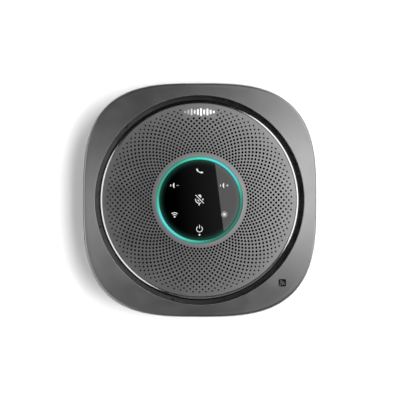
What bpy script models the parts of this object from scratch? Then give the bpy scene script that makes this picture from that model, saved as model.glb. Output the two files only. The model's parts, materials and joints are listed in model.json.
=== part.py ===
"""Conference speakerphone: a rounded-square tabletop unit, 130 mm across and 37 mm tall.

Two housing shells hold a frame. The frame carries a round island behind a dark groove: a domed
grille in a bright trim ring, with a touch glass inside a light ring at its middle. Under the
grille a bridge holds the touch parts above a shallow loudspeaker, and the main board, battery,
microphones and antenna fill the space around the motor.

Metres, +Z up. The origin is the middle of the plane that the unit stands on. +Y is the rear,
where the cable socket is.
"""

import math

import bmesh
import bpy
from mathutils import Matrix, Vector

MM = 0.001
GAP = 0.3 * MM  # left between two pieces that touch
OVERLAP = 0.5 * MM  # how far shapes that a Boolean joins go into each other
BEYOND = 2 * MM  # how far a cutter runs past the wall

# Facets round a circle
LARGE_SEGMENTS = 48
MEDIUM_SEGMENTS = 28
SMALL_SEGMENTS = 8
SMOOTH_ANGLE = math.radians(35)

# Housing
HALF_WIDTH = 65 * MM
SQUARENESS = 3.1  # exponent of the superellipse that the outline follows
WALL = 1.6 * MM
TRAY_WALL = 2 * MM
BASE_Z = 1.2 * MM
PARTING_Z = 14 * MM
WIDEST_Z = 28.5 * MM
EDGE_RADIUS = 1.7 * MM
OPENING_RADIUS = 58.3 * MM
OPENING_ROUND = 1 * MM
OPENING_TOP = 35.5 * MM
CROWN_SLOPE = math.tan(math.radians(9))  # the rim falls away from the opening
LIP_TOP = 31.9 * MM
LIP_RADIUS = 56 * MM
BASE_INSET = 9 * MM
PARTING_INSET = 2 * MM
FLOOR_Z = BASE_Z + TRAY_WALL

# Foot ring
FOOT_OUTER = 47 * MM
FOOT_INNER = 41 * MM
FOOT_TOP = 1.9 * MM
FOOT_CHAMFER = 0.5 * MM

# Frame and its fixings
FRAME_BOTTOM = 24 * MM
FRAME_TOP = 26.2 * MM
FRAME_RADIUS = 59.2 * MM
FRAME_OPENING = 31.2 * MM
POST_ORBIT = 51 * MM
POST_RADIUS = 3.4 * MM
SEAT_TOP = 5.3 * MM
SEAT_RADIUS = 4.2 * MM
HEAD_RECESS_RADIUS = 2.9 * MM
HEAD_RECESS_TOP = 3.4 * MM
EAR_ORBIT = 64 * MM
EAR_RADIUS = 3.4 * MM
CORNER_ANGLES = [math.radians(45 + 90 * k) for k in range(4)]
EAR_ANGLES = [math.radians(30 + 90 * k) for k in range(4)]

# Groove ring, trim ring and grille
GROOVE_OUTER = 58 * MM
GROOVE_INNER = 53.8 * MM
GROOVE_FLOOR = 33.4 * MM
GROOVE_THICKNESS = 1.2 * MM
SKIRT_OUTER = 55.6 * MM
SKIRT_INNER = 54.4 * MM
SKIRT_BOTTOM = 30.4 * MM
TRIM_OUTER = 55.3 * MM
TRIM_INNER = 53.9 * MM
TRIM_BEVEL_DROP = 1.3 * MM
GRILLE_RADIUS = 53.6 * MM
GRILLE_HOLE = 24.1 * MM
GRILLE_THICKNESS = 1 * MM
GRILLE_CROWN_Z = 37 * MM
GRILLE_EDGE_Z = 35.9 * MM
CLOTH_THICKNESS = 0.4 * MM
CLOTH_INNER = 26.6 * MM
CLOTH_OUTER = 53.2 * MM

# Microphones, heard through ports in the groove
MIC_ORBIT = 57.1 * MM
MIC_ANGLES = [math.radians(15 + 60 * k) for k in range(6)]
MIC_PORT_RADIUS = 0.5 * MM
LIP_PORT_RADIUS = 0.8 * MM

# Bridge that carries the touch parts over the loudspeaker
BRIDGE_RING_OUTER = 53.4 * MM
BRIDGE_RING_INNER = 51 * MM
BRIDGE_RING_TOP = 33.9 * MM
CUP_OUTER = 26.2 * MM
CUP_INNER = 25.2 * MM
CUP_BOTTOM = 31.4 * MM
CUP_FLOOR = 32.6 * MM
CUP_TOP = 35.4 * MM
SPOKE_WIDTH = 3 * MM
SPOKE_BOTTOM = 29.5 * MM
SPOKE_TOP = 32.5 * MM
SPOKES = 6

# Touch parts
BOARD_RADIUS = 24.6 * MM
BOARD_BOTTOM = CUP_FLOOR + GAP
BOARD_TOP = 34 * MM
LEDS = 12
LED_ORBIT = 23.15 * MM
LED_SIZE = Vector((0.9, 1.8, 0.6)) * MM
RING_OUTER = 23.75 * MM
RING_INNER = 22.5 * MM
RING_FLANGE = 24.7 * MM
RING_TOP = 36.95 * MM
RING_FLANGE_TOP = 35.5 * MM
GLASS_RADIUS = 22.2 * MM
GLASS_BOTTOM = 35.7 * MM
GLASS_TOP = 36.85 * MM
GLASS_CHAMFER = 0.3 * MM
WELL_BLOCK_RADIUS = 21.9 * MM
WELL_RADIUS = 1.7 * MM
KEY_ORBIT = 15.4 * MM

# Loudspeaker, from its motor up
YOKE_BOTTOM = 4.4 * MM
YOKE_TOP = 12.4 * MM
YOKE_RADIUS = 16.4 * MM
YOKE_BORE = 14.3 * MM
YOKE_FLOOR = 1.8 * MM
MAGNET_RADIUS = 12.2 * MM
MAGNET_TOP = 9.6 * MM
POLE_RADIUS = 12.5 * MM
POLE_TOP = 12.2 * MM
COIL_INNER = 13 * MM
COIL_OUTER = 13.75 * MM
FORMER_OUTER = 13.4 * MM
COIL_BOTTOM = 9 * MM
COIL_TOP = 13 * MM
FORMER_TOP = 17.6 * MM
BASKET_FLANGE = 35.4 * MM
FLANGE_BOTTOM = 21.4 * MM
FLANGE_TOP = 22.8 * MM
BASKET_THROAT = 29.6 * MM
BASKET_SEAT = 18.4 * MM
BASKET_WALL = 1.2 * MM
BASKET_EAR_ORBIT = 37.4 * MM
BASKET_EAR_RADIUS = 3 * MM
LEDGE_Z = 14.6 * MM
GASKET_INNER = 32.6 * MM
GASKET_TOP = 23.7 * MM
CONE_EDGE = 26 * MM
CONE_EDGE_Z = 23 * MM
CONE_THICKNESS = 0.5 * MM
CONE_NECK = FORMER_OUTER + 0.3 * MM
CONE_NECK_Z = 18 * MM
DUST_CAP_RADIUS = 12.9 * MM
DUST_CAP_RISE = 2.4 * MM
DUST_CAP_Z = 18.3 * MM
ROLL_INNER = CONE_EDGE + GAP
ROLL_OUTER = 30.3 * MM
ROLL_Z = 23.2 * MM
SURROUND_LIP = 31.8 * MM
SPIDER_INNER = 13.8 * MM
SPIDER_OUTER = 24.2 * MM
SPIDER_Z = 15.2 * MM
SPIDER_WAVE = 0.35 * MM
SHEET = 0.4 * MM  # rubber and woven suspension

# Main board and what is on it
PCB_HALF_LENGTH = 32 * MM
PCB_FRONT = 24 * MM
PCB_REAR = 50.5 * MM
PCB_TONGUE = 55.5 * MM
PCB_TONGUE_HALF = 10 * MM
PCB_BOTTOM = 7 * MM
PCB_TOP = 8.4 * MM
# Millimetres from the board's middle, with the length, width and height: processor, coil, memory,
# the plugs of the speaker and battery leads, and the plug of the touch flex
CHIPS = (
    (10, 0, 9, 9, 1.2),
    (20, 4, 5, 5, 2.6),
    (20, -7, 6, 4, 1),
    (-27, -2, 4, 7, 2.2),
    (27, -2, 4, 5, 2.2),
    (1.5, 9, 9, 2.5, 1.4),
)
STANDOFF_RADIUS = 2.2 * MM
SOCKET_HALF = Vector((4.47, 4.2, 1.63)) * MM
SOCKET_FRONT = 60.9 * MM
SOCKET_WALL = 0.3 * MM

# Battery
BATTERY_HALF_LENGTH = 29 * MM
BATTERY_FRONT = -52.5 * MM
BATTERY_REAR = -28.5 * MM
BATTERY_BOTTOM = 4.2 * MM
BATTERY_TOP = 14.4 * MM
STRAP_HALF_WIDTH = 8 * MM
STRAP = 1 * MM

# Antenna for tapping a phone, under the front right corner
ANTENNA_ANGLE = math.radians(-45)
ANTENNA_ORBIT = 64.4 * MM
ANTENNA_SIZE = Vector((7, 18, 0.4)) * MM
ANTENNA_Z = 32.4 * MM

# Leads, in millimetres: past the side of the motor, and from the basket down to the board
BATTERY_ROUTE = (
    (29.8, -34, 9.5),
    (32, -29, 8.6),
    (37, -14, 8),
    (38.5, 4, 8.4),
    (34, 18, 10),
    (29.6, 30, 10),
)
SPEAKER_ROUTE = (
    (-26.5, 14, 14.6),
    (-31, 16, 13.6),
    (-34, 21, 11.5),
    (-32.6, 27, 10.2),
    (-29.6, 31, 10),
)
LEAD_RADIUS = 0.7 * MM

FLEX_HALF_WIDTH = 4 * MM
FLEX = 0.35 * MM
FLEX_SLOT_Y = (43 * MM, 46.5 * MM)
CUP_SLOT_Y = (18 * MM, 21.5 * MM)


# ---------------------------------------------------------------- scene and materials


def clear_scene():
    for old in list(bpy.data.objects):
        bpy.data.objects.remove(old)


def new_collection(name):
    made = bpy.data.collections.new(name)
    bpy.context.scene.collection.children.link(made)
    return made


def material(name, colour, roughness, metallic=0.0):
    made = bpy.data.materials.new(name)
    made.use_nodes = True
    shader = made.node_tree.nodes["Principled BSDF"]
    shader.inputs["Base Color"].default_value = (*colour, 1)
    shader.inputs["Roughness"].default_value = roughness
    shader.inputs["Metallic"].default_value = metallic
    made.diffuse_color = (*colour, 1)
    return made


clear_scene()
PARTS = new_collection("conference_speakerphone")
CUTTERS = new_collection("cutters")

GRAPHITE = material("graphite_satin", (0.16, 0.16, 0.165), 0.4, 0.6)
TRAY = material("tray_plastic", (0.03, 0.03, 0.032), 0.5)
BLACK = material("groove_black", (0.012, 0.012, 0.013), 0.35)
BRIGHT = material("bright_trim", (0.8, 0.8, 0.8), 0.15, 1.0)
RUBBER = material("rubber", (0.02, 0.02, 0.02), 0.85)
CLOTH = material("acoustic_cloth", (0.01, 0.01, 0.01), 0.95)
GLASS = material("touch_glass_black", (0.005, 0.005, 0.005), 0.05)
LIGHT = material("light_guide", (0.1, 0.75, 0.65), 0.3)
INNER = material("inner_plastic", (0.05, 0.05, 0.055), 0.6)
BOARD = material("circuit_board", (0.01, 0.09, 0.04), 0.45)
STEEL = material("zinc_steel", (0.6, 0.6, 0.62), 0.3, 1.0)
MAGNET = material("magnet_nickel", (0.5, 0.49, 0.47), 0.25, 1.0)
PAPER = material("cone_paper", (0.02, 0.02, 0.02), 0.8)
COPPER = material("copper", (0.72, 0.33, 0.18), 0.35, 1.0)
WOVEN = material("spider_cloth", (0.5, 0.35, 0.12), 0.9)
FOIL = material("battery_foil", (0.35, 0.36, 0.4), 0.4, 0.8)
CABLE = material("cable_jacket", (0.02, 0.02, 0.02), 0.6)
FILM = material("flex_film", (0.55, 0.25, 0.04), 0.4)


def placed(name, mesh, look, collection=None):
    made = bpy.data.objects.new(name, mesh)
    (collection or PARTS).objects.link(made)
    if look:
        mesh.materials.append(look)
    return made


def as_cutter(obj):
    """A helper that a Boolean uses: it is no piece of the object, so the build leaves it out."""
    for owner in obj.users_collection:
        owner.objects.unlink(obj)
    CUTTERS.objects.link(obj)
    obj.hide_render = True
    obj.display_type = "WIRE"
    return obj


def combine(target, tool, operation):
    cut = target.modifiers.new(operation.lower(), "BOOLEAN")
    cut.operation = operation
    cut.object = as_cutter(tool)
    return target


def cut(target, *tools):
    for tool in tools:
        combine(target, tool, "DIFFERENCE")
    return target


def join(target, *tools):
    for tool in tools:
        combine(target, tool, "UNION")
    return target


def polar(radius, angle, z=0.0):
    return Vector((radius * math.cos(angle), radius * math.sin(angle), z))


# ---------------------------------------------------------------- shapes


def bake(obj):
    """Turns the modifiers so far into the mesh, with round faces smooth and edges sharp."""
    bpy.context.view_layer.update()
    evaluated = obj.evaluated_get(bpy.context.evaluated_depsgraph_get())
    mesh = bpy.data.meshes.new_from_object(evaluated)
    obj.modifiers.clear()
    obj.data = mesh
    mesh.shade_smooth()
    mesh.set_sharp_from_angle(angle=SMOOTH_ANGLE)
    return obj


def turned(name, profile, look=None, segments=MEDIUM_SEGMENTS):
    """A shape turned about Z. The profile's (radius, z) points run down the outer side; a profile
    that starts and ends on the axis is a disc, and any other is closed into a ring."""
    mesh = bpy.data.meshes.new(name)
    points = [(radius, 0, z) for radius, z in profile]
    edges = [(i, i + 1) for i in range(len(points) - 1)]
    if profile[0][0] > 0:
        edges.append((len(points) - 1, 0))
    mesh.from_pydata(points, edges, [])
    made = placed(name, mesh, look)
    screw = made.modifiers.new("turn", "SCREW")
    screw.steps = screw.render_steps = segments
    screw.use_merge_vertices = True
    screw.merge_threshold = 0.01 * MM
    return bake(made)


def sheet_profile(upper, thickness):
    """The profile of a sheet of this thickness under a line of points that runs outwards."""
    lower = [(radius, z - thickness) for radius, z in upper]
    return [upper[-1]] + lower[::-1] + upper[:-1]


def ring(name, inner, outer, bottom, top, look=None, segments=MEDIUM_SEGMENTS):
    profile = [(outer, top), (outer, bottom), (inner, bottom), (inner, top)]
    return turned(name, profile, look, segments)


def cylinders(name, centres, radius, bottom, top, look=None, segments=SMALL_SEGMENTS):
    """One upright cylinder at each centre, all in one mesh."""
    shape = bmesh.new()
    for centre in centres:
        middle = Vector((centre.x, centre.y, (bottom + top) / 2))
        bmesh.ops.create_cone(
            shape,
            cap_ends=True,
            segments=segments,
            radius1=radius,
            radius2=radius,
            depth=top - bottom,
            matrix=Matrix.Translation(middle),
        )
    mesh = bpy.data.meshes.new(name)
    shape.to_mesh(mesh)
    shape.free()
    mesh.shade_smooth()
    mesh.set_sharp_from_angle(angle=SMOOTH_ANGLE)
    return placed(name, mesh, look)


def boxes(name, blocks, look=None):
    """One box for each (centre, size, turn about Z), all in one mesh."""
    shape = bmesh.new()
    for centre, size, turn in blocks:
        turned_size = Matrix.Rotation(turn, 4, "Z") @ Matrix.Diagonal((*size, 1))
        bmesh.ops.create_cube(shape, size=1, matrix=Matrix.Translation(centre) @ turned_size)
    mesh = bpy.data.meshes.new(name)
    shape.to_mesh(mesh)
    shape.free()
    return placed(name, mesh, look)


def box(name, low, high, look=None):
    low, high = Vector(low), Vector(high)
    return boxes(name, [((low + high) / 2, high - low, 0)], look)


def soften(obj, width, segments=2):
    bevel = obj.modifiers.new("soften", "BEVEL")
    bevel.width = width
    bevel.segments = segments
    bevel.limit_method = "ANGLE"
    return obj


def thicken(obj, thickness):
    shell = obj.modifiers.new("thickness", "SOLIDIFY")
    shell.thickness = thickness
    shell.offset = -1
    shell.use_even_offset = True
    return bake(obj)


def tube(name, points, radius, look):
    """A lead on a smooth curve through its points, as a polyline with a point every few diameters."""
    guide = bpy.data.curves.new(name + "_guide", "CURVE")
    guide.dimensions = "3D"
    guide.resolution_u = 4
    spline = guide.splines.new("BEZIER")
    spline.bezier_points.add(len(points) - 1)
    for knot, point in zip(spline.bezier_points, points):
        knot.co = point
        knot.handle_left_type = knot.handle_right_type = "AUTO"
    route = bpy.data.objects.new(name + "_guide", guide)
    PARTS.objects.link(route)
    bpy.context.view_layer.update()
    evaluated = route.evaluated_get(bpy.context.evaluated_depsgraph_get())
    line = [vertex.co.copy() for vertex in bpy.data.meshes.new_from_object(evaluated).vertices]
    bpy.data.objects.remove(route)
    curve = bpy.data.curves.new(name, "CURVE")
    curve.dimensions = "3D"
    curve.bevel_depth = radius
    curve.bevel_resolution = 1
    curve.use_fill_caps = True
    path = curve.splines.new("POLY")
    path.points.add(len(line) - 1)
    for knot, point in zip(path.points, line):
        knot.co = (*point, 1)
    curve.materials.append(look)
    made = bpy.data.objects.new(name, curve)
    PARTS.objects.link(made)
    return made


def screw_up(name, centre, head_radius, head_bottom, head_top, shaft_radius, tip, look=STEEL):
    """A pan-head screw driven upwards, with a tapered tip."""
    taper = shaft_radius * 0.6
    made = turned(
        name,
        [
            (0, tip),
            (taper, tip),
            (shaft_radius, tip - taper),
            (shaft_radius, head_top),
            (head_radius, head_top),
            (head_radius, head_bottom + 0.3 * MM),
            (head_radius - 0.4 * MM, head_bottom),
            (0, head_bottom),
        ],
        look,
        SMALL_SEGMENTS,
    )
    made.location = (centre.x, centre.y, 0)
    return made


# ---------------------------------------------------------------- housing


def outline(angle, inset=0.0):
    """Distance from the axis to the outline, less an inset."""
    c, s = abs(math.cos(angle)), abs(math.sin(angle))
    return HALF_WIDTH / (c**SQUARENESS + s**SQUARENESS) ** (1 / SQUARENESS) - inset


def crown(radius):
    """Height of the sloping top face of the rim."""
    return OPENING_TOP - CROWN_SLOPE * (radius - OPENING_RADIUS)


def lofted(name, sections, look, close_bottom=False):
    """An open shell through sections that are functions of the angle giving (radius, z)."""
    mesh = bpy.data.meshes.new(name)
    angles = [2 * math.pi * k / LARGE_SEGMENTS for k in range(LARGE_SEGMENTS)]
    points = [polar(section(a)[0], a, section(a)[1]) for section in sections for a in angles]
    faces = []
    for row in range(len(sections) - 1):
        low, high = row * LARGE_SEGMENTS, (row + 1) * LARGE_SEGMENTS
        for k in range(LARGE_SEGMENTS):
            after = (k + 1) % LARGE_SEGMENTS
            faces.append((low + k, low + after, high + after, high + k))
    if close_bottom:
        faces.append(tuple(reversed(range(LARGE_SEGMENTS))))
    mesh.from_pydata(points, [], faces)
    return placed(name, mesh, look)


def rounded_edge(turn):
    """The section of the cover's outer edge at this angle up its rounding."""

    def section(angle):
        edge_z = crown(outline(angle, EDGE_RADIUS))
        inset = EDGE_RADIUS * (1 - math.cos(turn))
        return outline(angle, inset), edge_z - EDGE_RADIUS * (1 - math.sin(turn))

    return section


def on_crown(share):
    """The section of the sloping face, from 0 at the outer edge to 1 at the opening."""

    def section(angle):
        start, end = outline(angle, EDGE_RADIUS), OPENING_RADIUS + OPENING_ROUND
        radius = start + (end - start) * share
        return radius, crown(radius)

    return section


def top_cover():
    cover = lofted(
        "top_cover",
        [
            lambda a: (outline(a, PARTING_INSET), PARTING_Z + GAP),
            lambda a: (outline(a, PARTING_INSET * 0.4), (PARTING_Z * 2 + WIDEST_Z) / 3),
            lambda a: (outline(a, PARTING_INSET * 0.07), (PARTING_Z + WIDEST_Z * 3) / 4),
            lambda a: (outline(a), WIDEST_Z),
            *[rounded_edge(math.radians(turn)) for turn in (0, 35, 65)],
            *[on_crown(share) for share in (0, 0.5, 1)],
            lambda a: (OPENING_RADIUS, OPENING_TOP - OPENING_ROUND),
            lambda a: (OPENING_RADIUS, LIP_TOP),
            lambda a: (LIP_RADIUS, LIP_TOP),
        ],
        GRAPHITE,
    )
    thicken(cover, WALL)
    ears = [polar(EAR_ORBIT, a) for a in EAR_ANGLES]
    boss_bottom, boss_top = FRAME_TOP + GAP, crown(EAR_ORBIT) - WALL / 2
    join(cover, cylinders("cover_bosses", ears, EAR_RADIUS - GAP, boss_bottom, boss_top))
    cut(cover, cylinders("cover_boss_holes", ears, 1.3 * MM, boss_bottom - BEYOND, boss_top - WALL))
    ports = [polar(MIC_ORBIT, a) for a in MIC_ANGLES]
    port_bottom, port_top = LIP_TOP - WALL - BEYOND, LIP_TOP + OVERLAP
    cut(cover, cylinders("lip_ports", ports, LIP_PORT_RADIUS, port_bottom, port_top))
    return cover


def socket_opening():
    """The rounded hole in the rear wall that the cable socket looks out of."""
    clearance = 0.6 * MM
    middle = Vector((0, 60 * MM, PCB_TOP + GAP + SOCKET_HALF.z))
    half = Vector((SOCKET_HALF.x + clearance, 5 * MM, SOCKET_HALF.z + clearance / 1.5))
    opening = box("socket_opening", middle - half, middle + half)
    return rounded_along_y(opening, half.z * 0.9)


def rounded_along_y(obj, radius, segments=3):
    """Bevels only the four edges that run along Y."""
    shape = bmesh.new()
    shape.from_mesh(obj.data)
    edges = [e for e in shape.edges if abs((e.verts[0].co - e.verts[1].co).normalized().y) > 0.9]
    bmesh.ops.bevel(shape, geom=edges, offset=radius, segments=segments, profile=0.5, affect="EDGES")
    shape.to_mesh(obj.data)
    shape.free()
    return obj


def standoff_places():
    """Main board supports; the first and the last of them take a screw."""
    return [Vector((x * MM, y * MM, 0)) for x, y in ((-28, 47), (28, 47), (-28, 27.5), (28, 27.5))]


def bottom_cover():
    side = (PARTING_Z - BASE_Z) / 4
    tray = lofted(
        "bottom_cover",
        [
            lambda a: (outline(a, BASE_INSET), BASE_Z),
            lambda a: (outline(a, BASE_INSET * 0.8), BASE_Z + side * 0.35),
            lambda a: (outline(a, BASE_INSET * 0.58), BASE_Z + side * 1.1),
            lambda a: (outline(a, BASE_INSET * 0.37), BASE_Z + side * 2.4),
            lambda a: (outline(a, PARTING_INSET), PARTING_Z),
        ],
        TRAY,
        close_bottom=True,
    )
    thicken(tray, TRAY_WALL)
    corners = [polar(POST_ORBIT, a) for a in CORNER_ANGLES]
    supports = standoff_places()
    sunk = FLOOR_Z - OVERLAP
    join(
        tray,
        cylinders("screw_seats", corners, SEAT_RADIUS, sunk, SEAT_TOP),
        cylinders("standoffs", supports, STANDOFF_RADIUS, sunk, PCB_BOTTOM - GAP),
    )
    foot_recess = ring(
        "foot_recess",
        FOOT_INNER - GAP,
        FOOT_OUTER + GAP,
        BASE_Z - BEYOND,
        FOOT_TOP + GAP,
        segments=LARGE_SEGMENTS,
    )
    recess_bottom, hole_bottom = BASE_Z - BEYOND, HEAD_RECESS_TOP - OVERLAP
    board_hole_bottom = FLOOR_Z + OVERLAP
    cut(
        tray,
        foot_recess,
        cylinders("screw_recesses", corners, HEAD_RECESS_RADIUS, recess_bottom, HEAD_RECESS_TOP),
        cylinders("screw_holes", corners, 1.6 * MM, hole_bottom, SEAT_TOP + BEYOND),
        cylinders("board_screw_holes", supports[::3], 1.1 * MM, board_hole_bottom, PCB_BOTTOM + BEYOND),
        socket_opening(),
    )
    return tray


def foot_ring():
    return turned(
        "foot_ring",
        [
            (FOOT_OUTER, FOOT_TOP),
            (FOOT_OUTER, FOOT_CHAMFER),
            (FOOT_OUTER - FOOT_CHAMFER, 0),
            (FOOT_INNER + FOOT_CHAMFER, 0),
            (FOOT_INNER, FOOT_CHAMFER),
            (FOOT_INNER, FOOT_TOP),
        ],
        RUBBER,
        LARGE_SEGMENTS,
    )


# ---------------------------------------------------------------- island


def grille_top(radius):
    """Height of the grille's shallow dome."""
    return GRILLE_CROWN_Z - (GRILLE_CROWN_Z - GRILLE_EDGE_Z) * (radius / GRILLE_RADIUS) ** 2


def domed_ring(name, inner, outer, depth, thickness, look):
    """A ring that follows the grille's dome, its top face this far below the grille's."""
    radii = (inner, (inner + outer) / 2, outer)
    upper = [(radius, grille_top(radius) - depth) for radius in radii]
    return turned(name, sheet_profile(upper, thickness), look, LARGE_SEGMENTS)


def groove_ring():
    under = GROOVE_FLOOR - GROOVE_THICKNESS
    groove = turned(
        "groove_ring",
        [
            (GROOVE_OUTER, GROOVE_FLOOR),
            (GROOVE_OUTER, under),
            (SKIRT_OUTER, under),
            (SKIRT_OUTER, SKIRT_BOTTOM),
            (SKIRT_INNER, SKIRT_BOTTOM),
            (SKIRT_INNER, under),
            (GROOVE_INNER, under),
            (GROOVE_INNER, GROOVE_FLOOR),
        ],
        BLACK,
        LARGE_SEGMENTS,
    )
    ports = [polar(MIC_ORBIT, a) for a in MIC_ANGLES]
    cutter = cylinders("groove_ports", ports, MIC_PORT_RADIUS, under - BEYOND, GROOVE_FLOOR + BEYOND)
    return cut(groove, cutter)


def grille_trim():
    return turned(
        "grille_trim",
        [
            (TRIM_INNER + 0.2 * MM, GRILLE_EDGE_Z),
            (TRIM_OUTER, GRILLE_EDGE_Z - TRIM_BEVEL_DROP),
            (TRIM_OUTER, GROOVE_FLOOR + GAP),
            (TRIM_INNER, GROOVE_FLOOR + GAP),
            (TRIM_INNER, GRILLE_EDGE_Z - 0.1 * MM),
        ],
        BRIGHT,
        LARGE_SEGMENTS,
    )


def centre_bridge():
    bridge = turned(
        "centre_bridge",
        [
            (0, CUP_FLOOR),
            (CUP_INNER, CUP_FLOOR),
            (CUP_INNER, CUP_TOP),
            (CUP_OUTER, CUP_TOP),
            (CUP_OUTER, CUP_BOTTOM),
            (0, CUP_BOTTOM),
        ],
        INNER,
    )
    reach = (CUP_INNER + BRIDGE_RING_OUTER) / 2
    spoke_size = Vector((BRIDGE_RING_INNER - CUP_INNER + OVERLAP, SPOKE_WIDTH, SPOKE_TOP - SPOKE_BOTTOM))
    spokes = []
    for k in range(SPOKES):
        angle = math.radians(30) + 2 * math.pi * k / SPOKES
        spokes.append((polar(reach - OVERLAP, angle, (SPOKE_BOTTOM + SPOKE_TOP) / 2), spoke_size, angle))
    rim = ring(
        "bridge_rim",
        BRIDGE_RING_INNER,
        BRIDGE_RING_OUTER,
        FRAME_TOP + GAP,
        BRIDGE_RING_TOP,
        segments=LARGE_SEGMENTS,
    )
    join(bridge, boxes("bridge_spokes", spokes), rim)
    half = FLEX_HALF_WIDTH + 0.8 * MM
    slot = box(
        "cup_slot",
        (-half, CUP_SLOT_Y[0], CUP_BOTTOM - BEYOND),
        (half, CUP_SLOT_Y[1], CUP_FLOOR + OVERLAP),
    )
    return cut(bridge, slot)


def light_ring():
    return turned(
        "light_ring",
        [
            (RING_OUTER, RING_TOP),
            (RING_OUTER, RING_FLANGE_TOP),
            (RING_FLANGE, RING_FLANGE_TOP),
            (RING_FLANGE, BOARD_TOP + LED_SIZE.z + GAP),
            (RING_INNER, BOARD_TOP + LED_SIZE.z + GAP),
            (RING_INNER, RING_TOP),
        ],
        LIGHT,
    )


def touch_board():
    board = ring_disc("touch_board", BOARD_RADIUS, BOARD_BOTTOM, BOARD_TOP, BOARD)
    leds = []
    size = LED_SIZE + Vector((0, 0, OVERLAP))
    for k in range(LEDS):
        angle = 2 * math.pi * k / LEDS
        leds.append((polar(LED_ORBIT, angle, BOARD_TOP + LED_SIZE.z - size.z / 2), size, angle))
    return join(board, boxes("leds", leds))


def ring_disc(name, radius, bottom, top, look):
    return turned(name, [(0, top), (radius, top), (radius, bottom), (0, bottom)], look)


def icon_light_block():
    block = ring_disc("icon_light_block", WELL_BLOCK_RADIUS, BOARD_TOP + GAP, GLASS_BOTTOM - GAP, INNER)
    keys = [Vector((0, 0, 0))] + [polar(KEY_ORBIT, math.radians(30 + 60 * k)) for k in range(6)]
    wells = cylinders("icon_wells", keys, WELL_RADIUS, BOARD_TOP - BEYOND, GLASS_BOTTOM + BEYOND)
    return cut(block, wells)


def touch_glass():
    return turned(
        "touch_glass",
        [
            (0, GLASS_TOP),
            (GLASS_RADIUS - GLASS_CHAMFER, GLASS_TOP),
            (GLASS_RADIUS, GLASS_TOP - GLASS_CHAMFER),
            (GLASS_RADIUS, GLASS_BOTTOM),
            (0, GLASS_BOTTOM),
        ],
        GLASS,
    )


def island():
    groove_ring()
    grille_trim()
    domed_ring("speaker_grille", GRILLE_HOLE, GRILLE_RADIUS, 0, GRILLE_THICKNESS, GRAPHITE)
    domed_ring("grille_cloth", CLOTH_INNER, CLOTH_OUTER, GRILLE_THICKNESS + GAP, CLOTH_THICKNESS, CLOTH)
    centre_bridge()
    light_ring()
    touch_board()
    icon_light_block()
    touch_glass()


# ---------------------------------------------------------------- frame and screws


def baffle_frame():
    frame = ring(
        "baffle_frame", FRAME_OPENING, FRAME_RADIUS, FRAME_BOTTOM, FRAME_TOP, INNER, LARGE_SEGMENTS
    )
    posts = [polar(POST_ORBIT, a) for a in CORNER_ANGLES]
    driver_bosses = [polar(BASKET_EAR_ORBIT, a) for a in CORNER_ANGLES]
    ears = [polar(EAR_ORBIT, a) for a in EAR_ANGLES]
    post_bottom, boss_top = SEAT_TOP + GAP, FRAME_TOP + 2.2 * MM
    arm_z = (FRAME_BOTTOM + FRAME_TOP) / 2
    arm_size = Vector((2 * EAR_RADIUS, 1.8 * EAR_RADIUS, FRAME_TOP - FRAME_BOTTOM))
    arms = [(polar(EAR_ORBIT - EAR_RADIUS, a, arm_z), arm_size, a) for a in EAR_ANGLES]
    join(
        frame,
        cylinders("frame_posts", posts, POST_RADIUS, post_bottom, FRAME_BOTTOM + OVERLAP),
        cylinders("driver_bosses", driver_bosses, 2.6 * MM, FRAME_TOP - OVERLAP, boss_top),
        cylinders("frame_ears", ears, EAR_RADIUS, FRAME_BOTTOM, FRAME_TOP),
        boxes("ear_arms", arms),
    )
    half = FLEX_HALF_WIDTH + 1 * MM
    flex_slot = box(
        "flex_slot",
        (-half, FLEX_SLOT_Y[0], FRAME_BOTTOM - BEYOND),
        (half, FLEX_SLOT_Y[1], FRAME_TOP + BEYOND),
    )
    under = FRAME_BOTTOM - BEYOND
    return cut(
        frame,
        cylinders("post_holes", posts, 1.5 * MM, post_bottom - BEYOND, 13.5 * MM),
        cylinders("driver_screw_holes", driver_bosses, 1.2 * MM, under, boss_top - 0.5 * MM),
        cylinders("ear_holes", ears, 1.3 * MM, under, FRAME_TOP + BEYOND),
        flex_slot,
    )


def housing_screw(number, centre):
    head_top = HEAD_RECESS_TOP - GAP
    screw = screw_up(f"housing_screw_{number}", centre, 2.4 * MM, 1.5 * MM, head_top, 1.2 * MM, 12.8 * MM)
    drive = cylinders(f"drive_{number}", [centre], 1.1 * MM, 0.5 * MM, 2.4 * MM, segments=6)
    return cut(screw, drive)


def board_screw(number, place):
    """A pan-head screw driven down through the board."""
    head, shaft, tip = 1.9 * MM, 0.8 * MM, 4.2 * MM
    head_bottom = PCB_TOP + GAP
    head_top = head_bottom + 1.3 * MM
    screw = turned(
        f"board_screw_{number}",
        [
            (0, head_top),
            (head - 0.4 * MM, head_top),
            (head, head_top - 0.4 * MM),
            (head, head_bottom),
            (shaft, head_bottom),
            (shaft, tip),
            (0, tip),
        ],
        STEEL,
        SMALL_SEGMENTS,
    )
    screw.location = place


def screws():
    under_flange, under_frame = FLANGE_BOTTOM - GAP, FRAME_BOTTOM - GAP
    for number, angle in enumerate(CORNER_ANGLES, 1):
        housing_screw(number, polar(POST_ORBIT, angle))
        ear = polar(BASKET_EAR_ORBIT, angle)
        screw_up(f"driver_screw_{number}", ear, 2 * MM, 19.7 * MM, under_flange, 0.9 * MM, 27.5 * MM)
    for number, angle in enumerate(EAR_ANGLES, 1):
        ear = polar(EAR_ORBIT, angle)
        screw_up(f"cover_screw_{number}", ear, 2.1 * MM, 22.2 * MM, under_frame, 1 * MM, 31 * MM)
    for number, place in enumerate(standoff_places()[::3], 1):
        board_screw(number, place)


# ---------------------------------------------------------------- loudspeaker


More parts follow.
